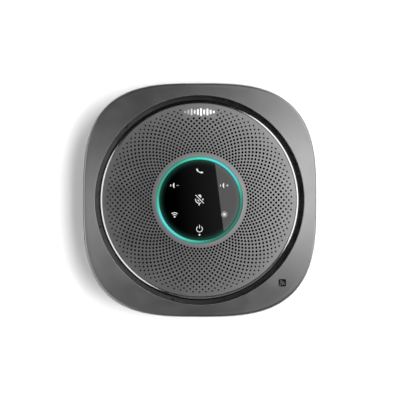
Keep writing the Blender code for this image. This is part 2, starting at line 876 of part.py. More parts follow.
def driver_basket():
    seat_bottom = YOKE_TOP - 2 * MM
    bore = YOKE_RADIUS + GAP
    basket = turned(
        "driver_basket",
        [
            (BASKET_FLANGE, FLANGE_TOP),
            (BASKET_FLANGE, FLANGE_BOTTOM),
            (BASKET_THROAT + BASKET_WALL, FLANGE_BOTTOM),
            (BASKET_SEAT + BASKET_WALL * 5, LEDGE_Z - BASKET_WALL),
            (BASKET_SEAT + BASKET_WALL, YOKE_TOP - BASKET_WALL),
            (BASKET_SEAT + BASKET_WALL, seat_bottom),
            (bore, seat_bottom),
            (bore, YOKE_TOP),
            (BASKET_SEAT, YOKE_TOP),
            (SPIDER_OUTER - 2 * MM, LEDGE_Z),
            (SPIDER_OUTER + 0.6 * MM, LEDGE_Z),
            (BASKET_THROAT, FLANGE_BOTTOM),
            (BASKET_THROAT, FLANGE_TOP),
        ],
        STEEL,
    )
    ears = [polar(BASKET_EAR_ORBIT, a) for a in CORNER_ANGLES]
    windows = []
    window_z = (LEDGE_Z + FLANGE_BOTTOM) / 2 + 0.4 * MM
    for k in range(4):
        angle = math.radians(90 * k)
        windows.append((polar(28 * MM, angle, window_z), Vector((12, 18, 3.6)) * MM, angle))
    join(basket, cylinders("basket_ears", ears, BASKET_EAR_RADIUS, FLANGE_BOTTOM, FLANGE_TOP))
    return cut(
        basket,
        boxes("basket_windows", windows),
        cylinders("ear_screw_holes", ears, 1.2 * MM, FLANGE_BOTTOM - BEYOND, FLANGE_TOP + BEYOND),
    )


def motor():
    turned(
        "driver_yoke",
        [
            (0, YOKE_BOTTOM + YOKE_FLOOR),
            (YOKE_BORE, YOKE_BOTTOM + YOKE_FLOOR),
            (YOKE_BORE, YOKE_TOP),
            (YOKE_RADIUS, YOKE_TOP),
            (YOKE_RADIUS, YOKE_BOTTOM),
            (0, YOKE_BOTTOM),
        ],
        STEEL,
    )
    ring_disc("driver_magnet", MAGNET_RADIUS, YOKE_BOTTOM + YOKE_FLOOR + GAP, MAGNET_TOP, MAGNET)
    ring_disc("driver_pole_plate", POLE_RADIUS, MAGNET_TOP + GAP, POLE_TOP, STEEL)


def voice_coil():
    """The winding round the lower end of its former."""
    return turned(
        "voice_coil",
        [
            (FORMER_OUTER, FORMER_TOP),
            (FORMER_OUTER, COIL_TOP),
            (COIL_OUTER, COIL_TOP),
            (COIL_OUTER, COIL_BOTTOM),
            (COIL_INNER, COIL_BOTTOM),
            (COIL_INNER, FORMER_TOP),
        ],
        COPPER,
    )


def driver_cone():
    """The paper cone, its flank slightly curved."""
    stations = []
    for share in (0, 0.35, 0.7, 1):
        radius = CONE_NECK + (CONE_EDGE - CONE_NECK) * share
        z = CONE_NECK_Z + (CONE_EDGE_Z - CONE_NECK_Z) * share**0.8
        stations.append((radius, z))
    return turned("driver_cone", sheet_profile(stations, CONE_THICKNESS), PAPER)


def driver_dust_cap():
    dome = []
    for share in (0, 0.4, 0.75, 1):
        dome.append((DUST_CAP_RADIUS * share, DUST_CAP_Z + DUST_CAP_RISE * (1 - share**2)))
    under = [(radius, z - CONE_THICKNESS) for radius, z in dome]
    return turned("driver_dust_cap", dome + under[::-1], PAPER)


def half_roll(radius, steps=4):
    """Points over the surround's roll, from its outer side to its inner."""
    middle = (ROLL_INNER + ROLL_OUTER) / 2
    turns = [math.pi * k / steps for k in range(steps + 1)]
    return [(middle + radius * math.cos(turn), ROLL_Z + radius * math.sin(turn)) for turn in turns]


def driver_surround():
    """A half roll of rubber between the cone's edge and a lip on the basket's flange."""
    half = (ROLL_OUTER - ROLL_INNER) / 2
    lip_top = ROLL_Z + SHEET
    lip = [(SURROUND_LIP, lip_top), (SURROUND_LIP, ROLL_Z)]
    outside = half_roll(half)[:0:-1] + [(ROLL_OUTER + 0.2 * MM, lip_top)]
    return turned("driver_surround", lip + half_roll(half - SHEET) + outside, RUBBER)


def driver_spider():
    """A corrugated disc that centres the coil."""
    folds = 6
    upper = []
    for k in range(folds + 1):
        radius = SPIDER_INNER + (SPIDER_OUTER - SPIDER_INNER) * k / folds
        upper.append((radius, SPIDER_Z + SHEET - SPIDER_WAVE * (-1) ** k))
    return turned("driver_spider", sheet_profile(upper, SHEET), WOVEN)


def loudspeaker():
    driver_basket()
    motor()
    ring("driver_gasket", GASKET_INNER, BASKET_FLANGE, FLANGE_TOP + GAP, GASKET_TOP, RUBBER)
    driver_surround()
    driver_spider()
    moving = bpy.data.objects.new("cone_axis", None)
    PARTS.objects.link(moving)
    for piece in (driver_cone(), driver_dust_cap(), voice_coil()):
        piece.parent = moving


# ---------------------------------------------------------------- electronics


def main_board():
    thickness = PCB_TOP - PCB_BOTTOM
    middle_y = (PCB_FRONT + PCB_REAR) / 2
    board = box(
        "main_board",
        (-PCB_HALF_LENGTH, PCB_FRONT, PCB_BOTTOM),
        (PCB_HALF_LENGTH, PCB_REAR, PCB_TOP),
        BOARD,
    )
    tongue = box(
        "board_tongue",
        (-PCB_TONGUE_HALF, PCB_REAR - OVERLAP, PCB_BOTTOM),
        (PCB_TONGUE_HALF, PCB_TONGUE, PCB_TOP),
    )
    chips = []
    for x, y, size_x, size_y, height in CHIPS:
        size = Vector((size_x * MM, size_y * MM, height * MM + thickness / 2))
        centre = Vector((x * MM, middle_y + y * MM, PCB_TOP - thickness / 2 + size.z / 2))
        chips.append((centre, size, 0))
    hole_bottom, hole_top = PCB_BOTTOM - BEYOND, PCB_TOP + BEYOND
    holes = cylinders("board_holes", standoff_places()[::3], 1.3 * MM, hole_bottom, hole_top)
    return cut(join(board, tongue, boxes("chips", chips)), holes)


def shield_can():
    """A five-sided tin cover over the radio and the processor."""
    low = Vector((-23 * MM, 28 * MM, PCB_TOP + GAP))
    high = Vector((-6 * MM, 45 * MM, PCB_TOP + GAP + 2.4 * MM))
    tin = 0.4 * MM
    wall = Vector((tin, tin, 0))
    can = box("shield_can", low, high, STEEL)
    inside_high = high - Vector((tin, tin, tin))
    return cut(can, box("shield_inside", low + wall - Vector((0, 0, BEYOND)), inside_high))


def usb_c_port():
    """The socket's shell, open at the rear, with the contact tongue inside it."""
    middle = Vector((0, SOCKET_FRONT - SOCKET_HALF.y, PCB_TOP + GAP + SOCKET_HALF.z))
    shell = box("usb_c_port", middle - SOCKET_HALF, middle + SOCKET_HALF, STEEL)
    rounded_along_y(shell, SOCKET_HALF.z * 0.95)
    wall = Vector((SOCKET_WALL, 0, SOCKET_WALL))
    hollow = box(
        "socket_hollow",
        middle - SOCKET_HALF + wall + Vector((0, 1.5 * MM, 0)),
        middle + SOCKET_HALF - wall + Vector((0, BEYOND, 0)),
    )
    rounded_along_y(hollow, (SOCKET_HALF.z - SOCKET_WALL) * 0.95)
    half = Vector((3.35, 2.6, 0.35)) * MM
    back = middle - Vector((0, 0.6 * MM, 0))
    return join(cut(shell, hollow), box("contact_tongue", back - half, back + half))


def battery():
    pack = box(
        "battery_pack",
        (-BATTERY_HALF_LENGTH, BATTERY_FRONT, BATTERY_BOTTOM),
        (BATTERY_HALF_LENGTH, BATTERY_REAR, BATTERY_TOP),
        FOIL,
    )
    soften(pack, 1.5 * MM)
    outer_low = Vector((-STRAP_HALF_WIDTH, BATTERY_FRONT - GAP - STRAP, FLOOR_Z + GAP))
    outer_high = Vector((STRAP_HALF_WIDTH, BATTERY_REAR + GAP + STRAP, BATTERY_TOP + GAP + STRAP))
    strap = box("battery_bracket", outer_low, outer_high, INNER)
    inside_low = outer_low + Vector((-BEYOND, STRAP, -BEYOND))
    inside_high = outer_high + Vector((BEYOND, -STRAP, -STRAP))
    return cut(strap, box("strap_inside", inside_low, inside_high))


def leads():
    for name, route in (("battery_lead", BATTERY_ROUTE), ("speaker_lead", SPEAKER_ROUTE)):
        tube(name, [Vector(point) * MM for point in route], LEAD_RADIUS, CABLE)


def touch_flex():
    """A flat film from the main board up through the frame and inwards under the bridge."""
    slot_y = sum(FLEX_SLOT_Y) / 2
    cup_y = sum(CUP_SLOT_Y) / 2
    path = [
        (FLEX_SLOT_Y[0] - 4 * MM, PCB_TOP + 1.8 * MM),
        (FLEX_SLOT_Y[0] - 1 * MM, PCB_TOP + 2.2 * MM),
        (slot_y, PCB_TOP + 5 * MM),
        (slot_y, SPOKE_BOTTOM - 2.2 * MM),
        (slot_y - 1.2 * MM, SPOKE_BOTTOM - 0.8 * MM),
        (cup_y + 1.6 * MM, SPOKE_BOTTOM - 0.8 * MM),
        (cup_y, SPOKE_BOTTOM + 0.4 * MM),
        (cup_y, BOARD_BOTTOM - GAP),
    ]
    mesh = bpy.data.meshes.new("touch_flex")
    points = [(side * FLEX_HALF_WIDTH, y, z) for y, z in path for side in (-1, 1)]
    faces = [(2 * k, 2 * k + 1, 2 * k + 3, 2 * k + 2) for k in range(len(path) - 1)]
    mesh.from_pydata(points, [], faces)
    return thicken(placed("touch_flex", mesh, FILM), FLEX)


def microphones():
    board_bottom = FRAME_TOP + GAP
    for number, angle in enumerate(MIC_ANGLES, 1):
        board = (polar(MIC_ORBIT, angle, board_bottom + 0.4 * MM), Vector((5, 7, 0.8)) * MM, angle)
        can = (polar(MIC_ORBIT, angle, board_bottom + 1.1 * MM), Vector((2.8, 3.6, 1.4)) * MM, angle)
        join(boxes(f"mic_board_{number}", [board], BOARD), boxes(f"mic_can_{number}", [can]))
        gasket = ring(
            f"mic_gasket_{number}",
            0.7 * MM,
            2.4 * MM,
            board_bottom + 1.8 * MM + GAP,
            LIP_TOP - WALL - GAP,
            RUBBER,
            SMALL_SEGMENTS,
        )
        gasket.location = polar(MIC_ORBIT, angle)


def nfc_antenna():
    """A flat coil on a ferrite sheet, tilted to lie against the sloping rim."""
    half = ANTENNA_SIZE / 2
    sheet = box("nfc_antenna", -half, half, FILM)
    sheet.location = polar(ANTENNA_ORBIT, ANTENNA_ANGLE, ANTENNA_Z)
    sheet.rotation_euler = (0, math.atan(CROWN_SLOPE), ANTENNA_ANGLE)
    return sheet


def electronics():
    main_board()
    shield_can()
    usb_c_port()
    battery()
    leads()
    touch_flex()
    microphones()
    nfc_antenna()


top_cover()
bottom_cover()
foot_ring()
island()
baffle_frame()
screws()
loudspeaker()
electronics()
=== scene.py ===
"""The looks of the conference speakerphone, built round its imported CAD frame.

Smooth, finely divided pieces stand for the CAD pieces that can be seen: the shells, the grille with
its real holes, the trim, the light ring, the glass with its keys, the foot, screws and socket. The
loudspeaker's surround and spider are made here too, because they stretch. The other pieces inside
keep their CAD shape and get their own materials. Metres, +Z up, +Y to the rear.
"""

import json
import math

import bmesh
import bpy
from mathutils import Matrix, Vector


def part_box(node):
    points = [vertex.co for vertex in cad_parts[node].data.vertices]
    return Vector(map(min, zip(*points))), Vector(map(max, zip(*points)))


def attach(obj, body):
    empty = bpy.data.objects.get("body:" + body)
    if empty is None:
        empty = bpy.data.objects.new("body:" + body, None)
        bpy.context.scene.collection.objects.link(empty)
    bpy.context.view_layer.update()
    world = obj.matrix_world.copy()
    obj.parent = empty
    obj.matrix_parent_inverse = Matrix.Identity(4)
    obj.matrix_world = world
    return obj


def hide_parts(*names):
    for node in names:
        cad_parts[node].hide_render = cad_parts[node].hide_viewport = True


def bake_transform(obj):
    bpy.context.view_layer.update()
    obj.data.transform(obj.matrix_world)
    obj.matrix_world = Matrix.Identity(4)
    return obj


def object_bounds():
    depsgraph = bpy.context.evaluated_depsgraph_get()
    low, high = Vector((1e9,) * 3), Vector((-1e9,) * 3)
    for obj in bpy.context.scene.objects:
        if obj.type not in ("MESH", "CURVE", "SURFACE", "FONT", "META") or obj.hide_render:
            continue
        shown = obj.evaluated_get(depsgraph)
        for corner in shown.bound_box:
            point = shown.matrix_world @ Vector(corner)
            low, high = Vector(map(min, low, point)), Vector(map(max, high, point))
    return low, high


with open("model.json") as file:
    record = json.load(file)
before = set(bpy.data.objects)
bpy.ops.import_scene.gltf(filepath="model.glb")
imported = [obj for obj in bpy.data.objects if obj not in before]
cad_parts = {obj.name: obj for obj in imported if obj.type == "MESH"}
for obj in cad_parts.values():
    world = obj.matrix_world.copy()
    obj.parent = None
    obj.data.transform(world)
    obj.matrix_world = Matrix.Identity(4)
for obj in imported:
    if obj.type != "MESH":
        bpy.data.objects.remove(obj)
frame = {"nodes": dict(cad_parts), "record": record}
CAD_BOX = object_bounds()

MM = 0.001
FULL_TURN = 2 * math.pi
SHARP_ANGLE = math.radians(32)

# ------------ sizes, read from the frame

COVER_LOW, COVER_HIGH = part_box("top_cover")
TRAY_LOW, TRAY_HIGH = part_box("bottom_cover")
FOOT_LOW, FOOT_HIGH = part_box("foot_ring")
GROOVE_LOW, GROOVE_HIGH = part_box("groove_ring")
TRIM_LOW, TRIM_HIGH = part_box("grille_trim")
GRILLE_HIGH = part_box("speaker_grille")[1]
RING_LOW, RING_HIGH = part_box("light_ring")
GLASS_LOW, GLASS_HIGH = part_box("touch_glass")
SOCKET_LOW, SOCKET_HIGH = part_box("usb_c_port")
SOCKET_MIDDLE = (SOCKET_LOW + SOCKET_HIGH) / 2
SOCKET_HALF = (SOCKET_HIGH - SOCKET_LOW) / 2

# Housing
HALF_WIDTH = COVER_HIGH.x
SQUARENESS = 3.1  # exponent of the superellipse that the outline follows
WALL = 1.6 * MM
TRAY_WALL = 2 * MM
WIDEST_Z = 28.5 * MM
EDGE_RADIUS = 1.7 * MM
OPENING_RADIUS = 58 * MM
OPENING_ROUND = 0.3 * MM
CROWN_START = OPENING_RADIUS + OPENING_ROUND
CROWN_ANGLE = math.radians(9)
LIP_TOP = 31.9 * MM
LIP_RADIUS = 56 * MM
LIP_ROUND = 0.2 * MM
PARTING_INSET = 2 * MM
PARTING_ROUND = 0.35 * MM
BASE_INSET = 9 * MM
FLOOR_Z = TRAY_LOW.z + TRAY_WALL

# Points round a piece
OUTLINE_POINTS = 288
ROUND_POINTS = 192
TRIM_POINTS = 256
SCREW_POINTS = 48
DRILL_POINTS = 24

# Foot ring and the recesses in the base
FOOT_OUTER = FOOT_HIGH.x
FOOT_INNER = FOOT_OUTER - 6 * MM
RECESS_GAP = 0.3 * MM
PLATE_RADIUS = 33 * MM
PLATE_DEPTH = 0.35 * MM
POST_ORBIT = 51 * MM
HEAD_RECESS_RADIUS = 2.9 * MM
HEAD_RECESS_DEPTH = 2.2 * MM
CORNER_ANGLES = [math.radians(45 + 90 * k) for k in range(4)]

# Microphone ports
MIC_ORBIT = 57.1 * MM
MIC_ANGLES = [math.radians(15 + 60 * k) for k in range(6)]
PORT_RADIUS = 0.5 * MM
PORT_RADIUS_IN_LIP = 0.8 * MM

# Island
GRILLE_RADIUS = GRILLE_HIGH.x
GRILLE_HOLE = 24.1 * MM
GRILLE_THICKNESS = 1 * MM
GRILLE_CROWN_Z = 37 * MM
GRILLE_EDGE_Z = 35.9 * MM
GRILLE_EDGE_ROUND = 0.12 * MM
TRIM_SLOPE = math.radians(22)
HOLE_RINGS = 18
HOLES_PER_RING = 90
FIRST_RING = 27.05 * MM
RING_PITCH = 1.406 * MM
WIDEST_HOLE = 1.27 * MM
HOLE_SHARES = (1.0, 0.92, 0.85, 0.79, 0.77)  # of the widest, from the last full ring outwards
HOLE_POINTS = 16
HOLE_CHAMFER = 0.04 * MM
PLATE_STEPS = 2 * HOLES_PER_RING
EMBLEM_RING = 14  # from this ring on, the holes under the emblem are left out
EMBLEM_HALF_WIDTH = 9.4 * MM
EMBLEM_Y = 48.75 * MM
RING_INNER = 22.5 * MM
RING_OUTER = 23.75 * MM
RING_FLANGE = RING_HIGH.x
GLASS_RADIUS = GLASS_HIGH.x
KEY_ORBIT = 15.9 * MM
TAP_MARK = Vector((45.9, -45.9)) * MM
PRINT_HEIGHT = 0.03 * MM
PRINT_GAP = 0.005 * MM
PRINT_FOOT = 0.004 * MM

# Suspension
SHEET = 0.4 * MM
SECTORS = 12
SECTOR_STEPS = 8

# ------------ node helpers

WAVE_PERIOD = 0.314  # of the wave texture at scale 1
MIX_FIRST, MIX_SECOND, MIX_RESULT = 6, 7, 2  # the mix node's sockets for colours


def put(tree, value, target):
    """Gives an input this value, or joins this socket to it."""
    if isinstance(value, bpy.types.NodeSocket):
        tree.links.new(value, target)
    elif value is not None:
        target.default_value = value


def add_node(tree, kind, inputs=None, **settings):
    """The outputs of a new shader node. Inputs go by name or number."""
    made = tree.nodes.new(f"ShaderNode{kind}")
    for name, value in settings.items():
        setattr(made, name, value)
    for key, value in (inputs or {}).items():
        put(tree, value, made.inputs[key])
    return made.outputs


class Look:
    """A material, and short calls that add procedural detail to its Principled shader."""

    def __init__(self, name, colour, roughness, metallic=0.0):
        self.material = bpy.data.materials.new(name)
        self.material.use_nodes = True
        self.tree = self.material.node_tree
        self.colour = colour
        self.material.diffuse_color = (*colour, 1)
        self.set("Base Color", (*colour, 1))
        self.set("Roughness", roughness)
        self.set("Metallic", metallic)
        self.place = add_node(self.tree, "TexCoord")["Object"]
        self.relief = None

    def set(self, name, value):
        """Gives the shader's input a value or a socket."""
        put(self.tree, value, self.tree.nodes["Principled BSDF"].inputs[name])
        return self

    def noise(self, size, detail=3.0, stretch=None):
        """A noise whose features measure about size, divided by stretch along each axis."""
        place = self.place
        if stretch:
            place = add_node(self.tree, "VectorMath", {0: place, 1: stretch}, operation="MULTIPLY")[0]
        inputs = {"Vector": place, "Scale": 1 / size, "Detail": detail}
        return add_node(self.tree, "TexNoise", inputs)["Fac"]

    def cells(self, size):
        inputs = {"Vector": self.place, "Scale": 1 / size}
        return add_node(self.tree, "TexVoronoi", inputs)["Distance"]

    def waves(self, size, direction):
        """Bands this far apart along an axis."""
        inputs = {"Vector": self.place, "Scale": WAVE_PERIOD / size}
        return add_node(self.tree, "TexWave", inputs, bands_direction=direction)["Fac"]

    def math(self, operation, *values):
        return add_node(self.tree, "Math", dict(enumerate(values)), operation=operation)[0]

    def spread(self, source, low, high, start=0.0, end=1.0):
        """Source from start to end becomes low to high, smoothly and within them."""
        inputs = {"Value": source, "From Min": start, "From Max": end, "To Min": low, "To Max": high}
        return add_node(self.tree, "MapRange", inputs, interpolation_type="SMOOTHSTEP")["Result"]

    def mix(self, factor, first, second):
        """A colour between two."""
        inputs = {"Factor": factor, MIX_FIRST: (*first, 1), MIX_SECOND: (*second, 1)}
        return add_node(self.tree, "Mix", inputs, data_type="RGBA")[MIX_RESULT]

    def tint(self, factor, dark, light):
        """Varies the base colour from dark to light times itself."""
        ends = [[channel * k for channel in self.colour] for k in (dark, light)]
        return self.set("Base Color", self.mix(factor, *ends))

    def gloss(self, factor, low, high):
        """Varies the roughness from low to high."""
        return self.set("Roughness", self.spread(factor, low, high, 0.3, 0.7))

    def bump(self, height, depth):
        """Adds relief of this depth on top of any earlier one."""
        inputs = {"Height": height, "Distance": depth, "Normal": self.relief}
        self.relief = add_node(self.tree, "Bump", inputs)["Normal"]
        return self.set("Normal", self.relief)

    def glow(self, colour, strength):
        """Makes it give off light, whose colour and strength may vary."""
        return self.set("Emission Color", colour).set("Emission Strength", strength)

    def axes(self):
        """Sockets with X, Y and Z."""
        return add_node(self.tree, "SeparateXYZ", {0: self.place})

    def radius(self):
        """A socket with the distance from the Z axis."""
        x, y, _ = self.axes()
        squares = [self.math("MULTIPLY", axis, axis) for axis in (x, y)]
        return self.math("SQRT", self.math("ADD", *squares))

    def facing(self, degrees):
        """A socket with the cosine of the angle round the Z axis from this direction."""
        x, y, _ = self.axes()
        angle = self.math("ARCTAN2", y, x)
        return self.math("COSINE", self.math("SUBTRACT", angle, math.radians(degrees)))


# ------------ materials

RING_GREEN = (0.07, 1.0, 0.7)
RING_CYAN = (0.11, 1.0, 1.0)
# Colour of the painted glow on the glass near the light ring.
PAINTED_GLASS_SPILL_TINT = (0.2, 1.0, 0.76, 1.0)
# Colour of the painted glow on the grille near the light ring.
PAINTED_RING_SPILL_TINT = (0.7, 1.5, 1.35)
WHITE = (1.0, 1.0, 1.0, 1.0)


def coated(name, colour, roughness):
    """Graphite metallic coating on plastic: fine flakes, a soft orange peel and a satin sheen."""
    look = Look(name, colour, roughness, 0.9)
    look.tint(look.cells(0.12 * MM), 0.9, 1.12)
    look.gloss(look.noise(9 * MM), roughness - 0.03, roughness + 0.03)
    look.bump(look.noise(0.16 * MM, 2.0), 0.004 * MM)
    return look.bump(look.noise(2.2 * MM, 2.0), 0.004 * MM)


def moulded(name, colour, roughness, grain=0.3 * MM, depth=0.02 * MM):
    """Moulded plastic with a spark-eroded grain."""
    look = Look(name, colour, roughness)
    look.tint(look.noise(14 * MM), 0.85, 1.15)
    look.gloss(look.noise(5 * MM), roughness - 0.05, roughness + 0.06)
    return look.bump(look.noise(grain, 4.0), depth)


def rubber(name):
    look = Look(name, (0.022, 0.022, 0.023), 0.82)
    look.tint(look.noise(3 * MM, 5.0), 0.7, 1.6)
    return look.bump(look.noise(0.2 * MM, 4.0), 0.015 * MM)


def polished(name, colour, roughness):
    """Metal turned with a diamond tool, whose fine marks run round the axis."""
    look = Look(name, colour, roughness, 1.0)
    marks = look.math("SINE", look.math("MULTIPLY", look.radius(), FULL_TURN / (0.09 * MM)))
    look.bump(marks, 0.00005 * MM)
    look.tint(look.noise(4 * MM), 0.94, 1.05)
    return look.gloss(look.noise(2 * MM, 4.0), roughness * 0.8, roughness * 1.2)


def plated(name, colour, roughness):
    """Plated or stamped metal with faint drawing marks."""
    look = Look(name, colour, roughness, 1.0)
    look.tint(look.noise(2.5 * MM, 4.0), 0.85, 1.12)
    look.gloss(look.noise(0.8 * MM, 4.0), roughness * 0.8, roughness * 1.3)
    return look.bump(look.noise(0.5 * MM, stretch=(1, 12, 1)), 0.004 * MM)


def woven(name, colour, pitch, depth, roughness=0.95):
    """Two sets of threads that cross."""
    look = Look(name, colour, roughness)
    over = look.math("MAXIMUM", look.waves(pitch, "X"), look.waves(pitch, "Y"))
    look.tint(over, 0.35, 1.3)
    return look.bump(over, depth).set("Specular IOR Level", 0.1)


def touch_glass_look():
    """Black glass with faint finger marks, and a painted glow near its rim that stands in for the ring's
    light falling into it.
    """
    look = Look("touch_glass_black", (0.0005, 0.0005, 0.0005), 0.01)
    look.gloss(look.noise(6 * MM, 4.0), 0.0, 0.012)
    radius = look.radius()
    # Painted light: emission near the rim, in place of the ring's light spilling into the glass.
    wide = look.spread(radius, 0.0, 0.016, 19.0 * MM, 21.4 * MM)
    narrow = look.spread(radius, 0.0, 0.024, 20.9 * MM, 21.5 * MM)
    return look.glow(PAINTED_GLASS_SPILL_TINT, look.math("ADD", wide, narrow))


def light_guide_look():
    """Milky light guide, lit from below: green, and cyan at its two brightest places.

    Its flange, under the grille, is lit less.
    """
    look = Look("light_guide_lit", (0.02, 0.08, 0.07), 0.4)
    look.set("Specular IOR Level", 0.25)
    hot_spots = look.spread(look.noise(3.5 * MM, 1.0), 0.97, 1.04, 0.3, 0.7)
    shaded = look.spread(look.radius(), 1.0, 0.28, RING_OUTER - 0.1 * MM, RING_OUTER + 0.12 * MM)
    tips = [look.spread(look.facing(degrees), 0.0, 1.0, 0.81, 0.92) for degrees in (52, 219)]
    cyan = look.math("MAXIMUM", *tips)
    right = look.spread(look.facing(60), 0.0, 1.0, 0.35, 1.0)
    left = look.spread(look.facing(228), 0.0, 1.0, 0.42, 1.02)
    least = look.spread(look.facing(-37), 0.31, 0.14, -1.0, 1.0)
    strength = look.math("MULTIPLY_ADD", look.math("ADD", right, left), 0.41, least)
    level = look.math("MULTIPLY", strength, look.math("MULTIPLY", hot_spots, shaded))
    return look.glow(look.mix(cyan, RING_GREEN, RING_CYAN), level)


def grille_look():
    """The grille's coating, with a painted glow where the plate meets the ring: emission that stands in
    for the ring's light falling on the plate.
    """
    look = coated("grille_graphite_painted_glow", (0.245, 0.245, 0.247), 0.36)
    radius = look.radius()
    # Painted light: the plate gives off a faint glow near the ring, in place of the ring's light falling
    # on it.
    spill_tint_share = look.spread(radius, 1.0, 0.0, GRILLE_HOLE - 0.6 * MM, 25.6 * MM)
    strength = look.spread(radius, 0.034, 0.0, GRILLE_HOLE, 26.0 * MM)
    return look.glow(look.mix(spill_tint_share, (1, 1, 1), PAINTED_RING_SPILL_TINT), strength)


def icon_look(name, level):
    """Pale print, lit from behind a little."""
    look = Look(name, (0.1, 0.1, 0.1), 0.4)
    grain = look.spread(look.noise(0.3 * MM), level * 0.97, level * 1.03, 0.3, 0.7)
    return look.glow(WHITE, grain)


def emblem_look():
    """Silver print with painted light that grows brighter from left to right: a painted gradient in its
    colour and a painted glow, as the light falls from the right.
    """
    look = Look("emblem_print_painted_light", (0.8, 0.8, 0.8), 0.45)
    # Painted light: colour and emission grow with this share, from the left end of the emblem to the
    # right.
    share = look.spread(look.axes()["X"], 0.0, 1.0, -EMBLEM_HALF_WIDTH, 0.4 * EMBLEM_HALF_WIDTH)
    look.set("Base Color", look.mix(share, (0.5, 0.5, 0.5), (0.9, 0.9, 0.9)))
    return look.glow(WHITE, look.spread(share, 0.06, 0.6))


def circuit_look(name, mask):
    """Solder mask of this colour over faint square traces."""
    look = Look(name, mask, 0.4)
    inputs = {"Vector": look.place, "Scale": 1 / (2.4 * MM), "Mortar Size": 0.05}
    traces = add_node(look.tree, "TexBrick", inputs)["Fac"]
    look.tint(traces, 0.8, 2.2)
    return look.bump(traces, 0.02 * MM).set("Coat Weight", 0.4)


def wound_look(name):
    """Varnished copper wire, wound in level turns."""
    look = Look(name, (0.75, 0.3, 0.14), 0.32, 1.0)
    turns = look.waves(0.2 * MM, "Z")
    look.tint(turns, 0.55, 1.15)
    return look.bump(turns, 0.05 * MM).set("Coat Weight", 0.5)


def pulp_look(name):
    """Pressed paper pulp with short fibres."""
    look = Look(name, (0.022, 0.022, 0.023), 0.85)
    fibres = look.noise(0.8 * MM, 6.0, (1, 3, 1))
    look.tint(fibres, 0.5, 2.0)
    return look.bump(fibres, 0.06 * MM)


def foil_look(name):
    """Laminated foil with soft creases."""
    look = Look(name, (0.4, 0.41, 0.44), 0.38, 0.85)
    look.gloss(look.noise(6 * MM), 0.3, 0.5)
    return look.bump(look.noise(7 * MM), 0.12 * MM)


def film_look(name):
    """Amber film over narrow copper lines."""
    look = Look(name, (0.5, 0.2, 0.03), 0.35)
    lines = look.waves(0.5 * MM, "X")
    look.tint(lines, 0.6, 1.4)
    return look.bump(lines, 0.01 * MM).set("Coat Weight", 0.3)


LOOKS = {
    "graphite_shell": coated("graphite_coating", (0.262, 0.262, 0.264), 0.35),
    "tray_plastic": moulded("tray_charcoal", (0.035, 0.035, 0.037), 0.5),
    "foot_rubber": rubber("foot_rubber"),
    "groove_black": moulded("groove_black", (0.006, 0.006, 0.006), 0.24, 0.3 * MM, 0.002 * MM),
    "bright_trim": polished("trim_polished", (0.42, 0.42, 0.42), 0.16),
    "grille_metal": grille_look(),
    # Partly painted shade: the cloth is black, and made darker still so the grille's holes over it read
    # black.
    "acoustic_cloth": woven("acoustic_cloth", (0.002, 0.002, 0.002), 0.3 * MM, 0.06 * MM),
    "inner_plastic": moulded("inner_plastic", (0.05, 0.05, 0.055), 0.55),
    "light_guide": light_guide_look(),
    "touch_glass": touch_glass_look(),
    "circuit_board": circuit_look("green_board", (0.008, 0.085, 0.035)),
    "flex_film": film_look("flex_film"),
    "zinc_steel": plated("zinc_steel", (0.62, 0.62, 0.64), 0.32),
    "screw_steel": plated("screw_steel", (0.3, 0.3, 0.31), 0.3),
    "tin_plate": plated("tin_plate", (0.66, 0.65, 0.62), 0.26),
    "magnet_nickel": plated("magnet_nickel", (0.56, 0.54, 0.5), 0.18),
    "soft_rubber": rubber("soft_rubber"),
    "cone_paper": pulp_look("cone_paper"),
    "copper": wound_look("coil_copper"),
    "spider_cloth": woven("spider_cloth", (0.5, 0.33, 0.1), 0.5 * MM, 0.1 * MM, 0.8),
    "battery_foil": foil_look("battery_foil"),
    "cable_jacket": moulded("cable_jacket", (0.02, 0.02, 0.021), 0.45, 0.5 * MM),
}
WHITE_PRINT = icon_look("icon_white", 0.8)
SOFT_PRINT = icon_look("icon_soft", 0.4)
DIM_PRINT = icon_look("icon_dim", 0.17)
EMBLEM_PRINT = emblem_look()
# Painted shade: a black board for the microphones, so the ports over them read dark.
PORT_SHADE_BOARD = circuit_look("black_board_painted_shade", (0.002, 0.002, 0.002))
MARK_INK = moulded("tap_mark_ink", (0.004, 0.004, 0.004), 0.7, 0.2 * MM, 0.002 * MM)
LOOKS["groove_black"].set("Specular IOR Level", 0.36)
MARK_INK.set("Specular IOR Level", 0.1)
SLOT_OF = {part["node"]: part["material_slot"] for part in frame["record"]["subparts"]}


# ------------ mesh helpers


def linked(name, data):
    """A new object in the scene."""
    made = bpy.data.objects.new(name, data)
    bpy.context.scene.collection.objects.link(made)
    return made


def dress(mesh, look):
    """Gives a mesh its material, and makes it smooth with sharp edges."""
    mesh.materials.clear()
    mesh.materials.append(look.material)
    mesh.shade_smooth()
    mesh.set_sharp_from_angle(angle=SHARP_ANGLE)


def finished(name, mesh, look, stands_for=None, body="chassis"):
    """Makes a piece. It rides on its body, if it has one, and may stand for a CAD node."""
    dress(mesh, look)
    made = linked(name, mesh)
    if body:
        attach(made, body)
    if stands_for:
        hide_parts(stands_for)
    return made


def stand_in(name, mesh, node, body="chassis"):
    """A piece that stands for a CAD node, with that node's slot and look."""
    slot = SLOT_OF[node]
    return finished(name, mesh, LOOKS[slot], node, body)


def from_faces(points, faces):
    mesh = bpy.data.meshes.new("mesh")
    mesh.from_pydata(points, [], faces)
    mesh.validate()
    return mesh


def band(first, second):
    """Four-sided faces between two closed loops of points."""
    faces = []
    for k in range(len(first)):
        after = (k + 1) % len(first)
        faces.append([first[after], first[k], second[k], second[after]])
    return faces


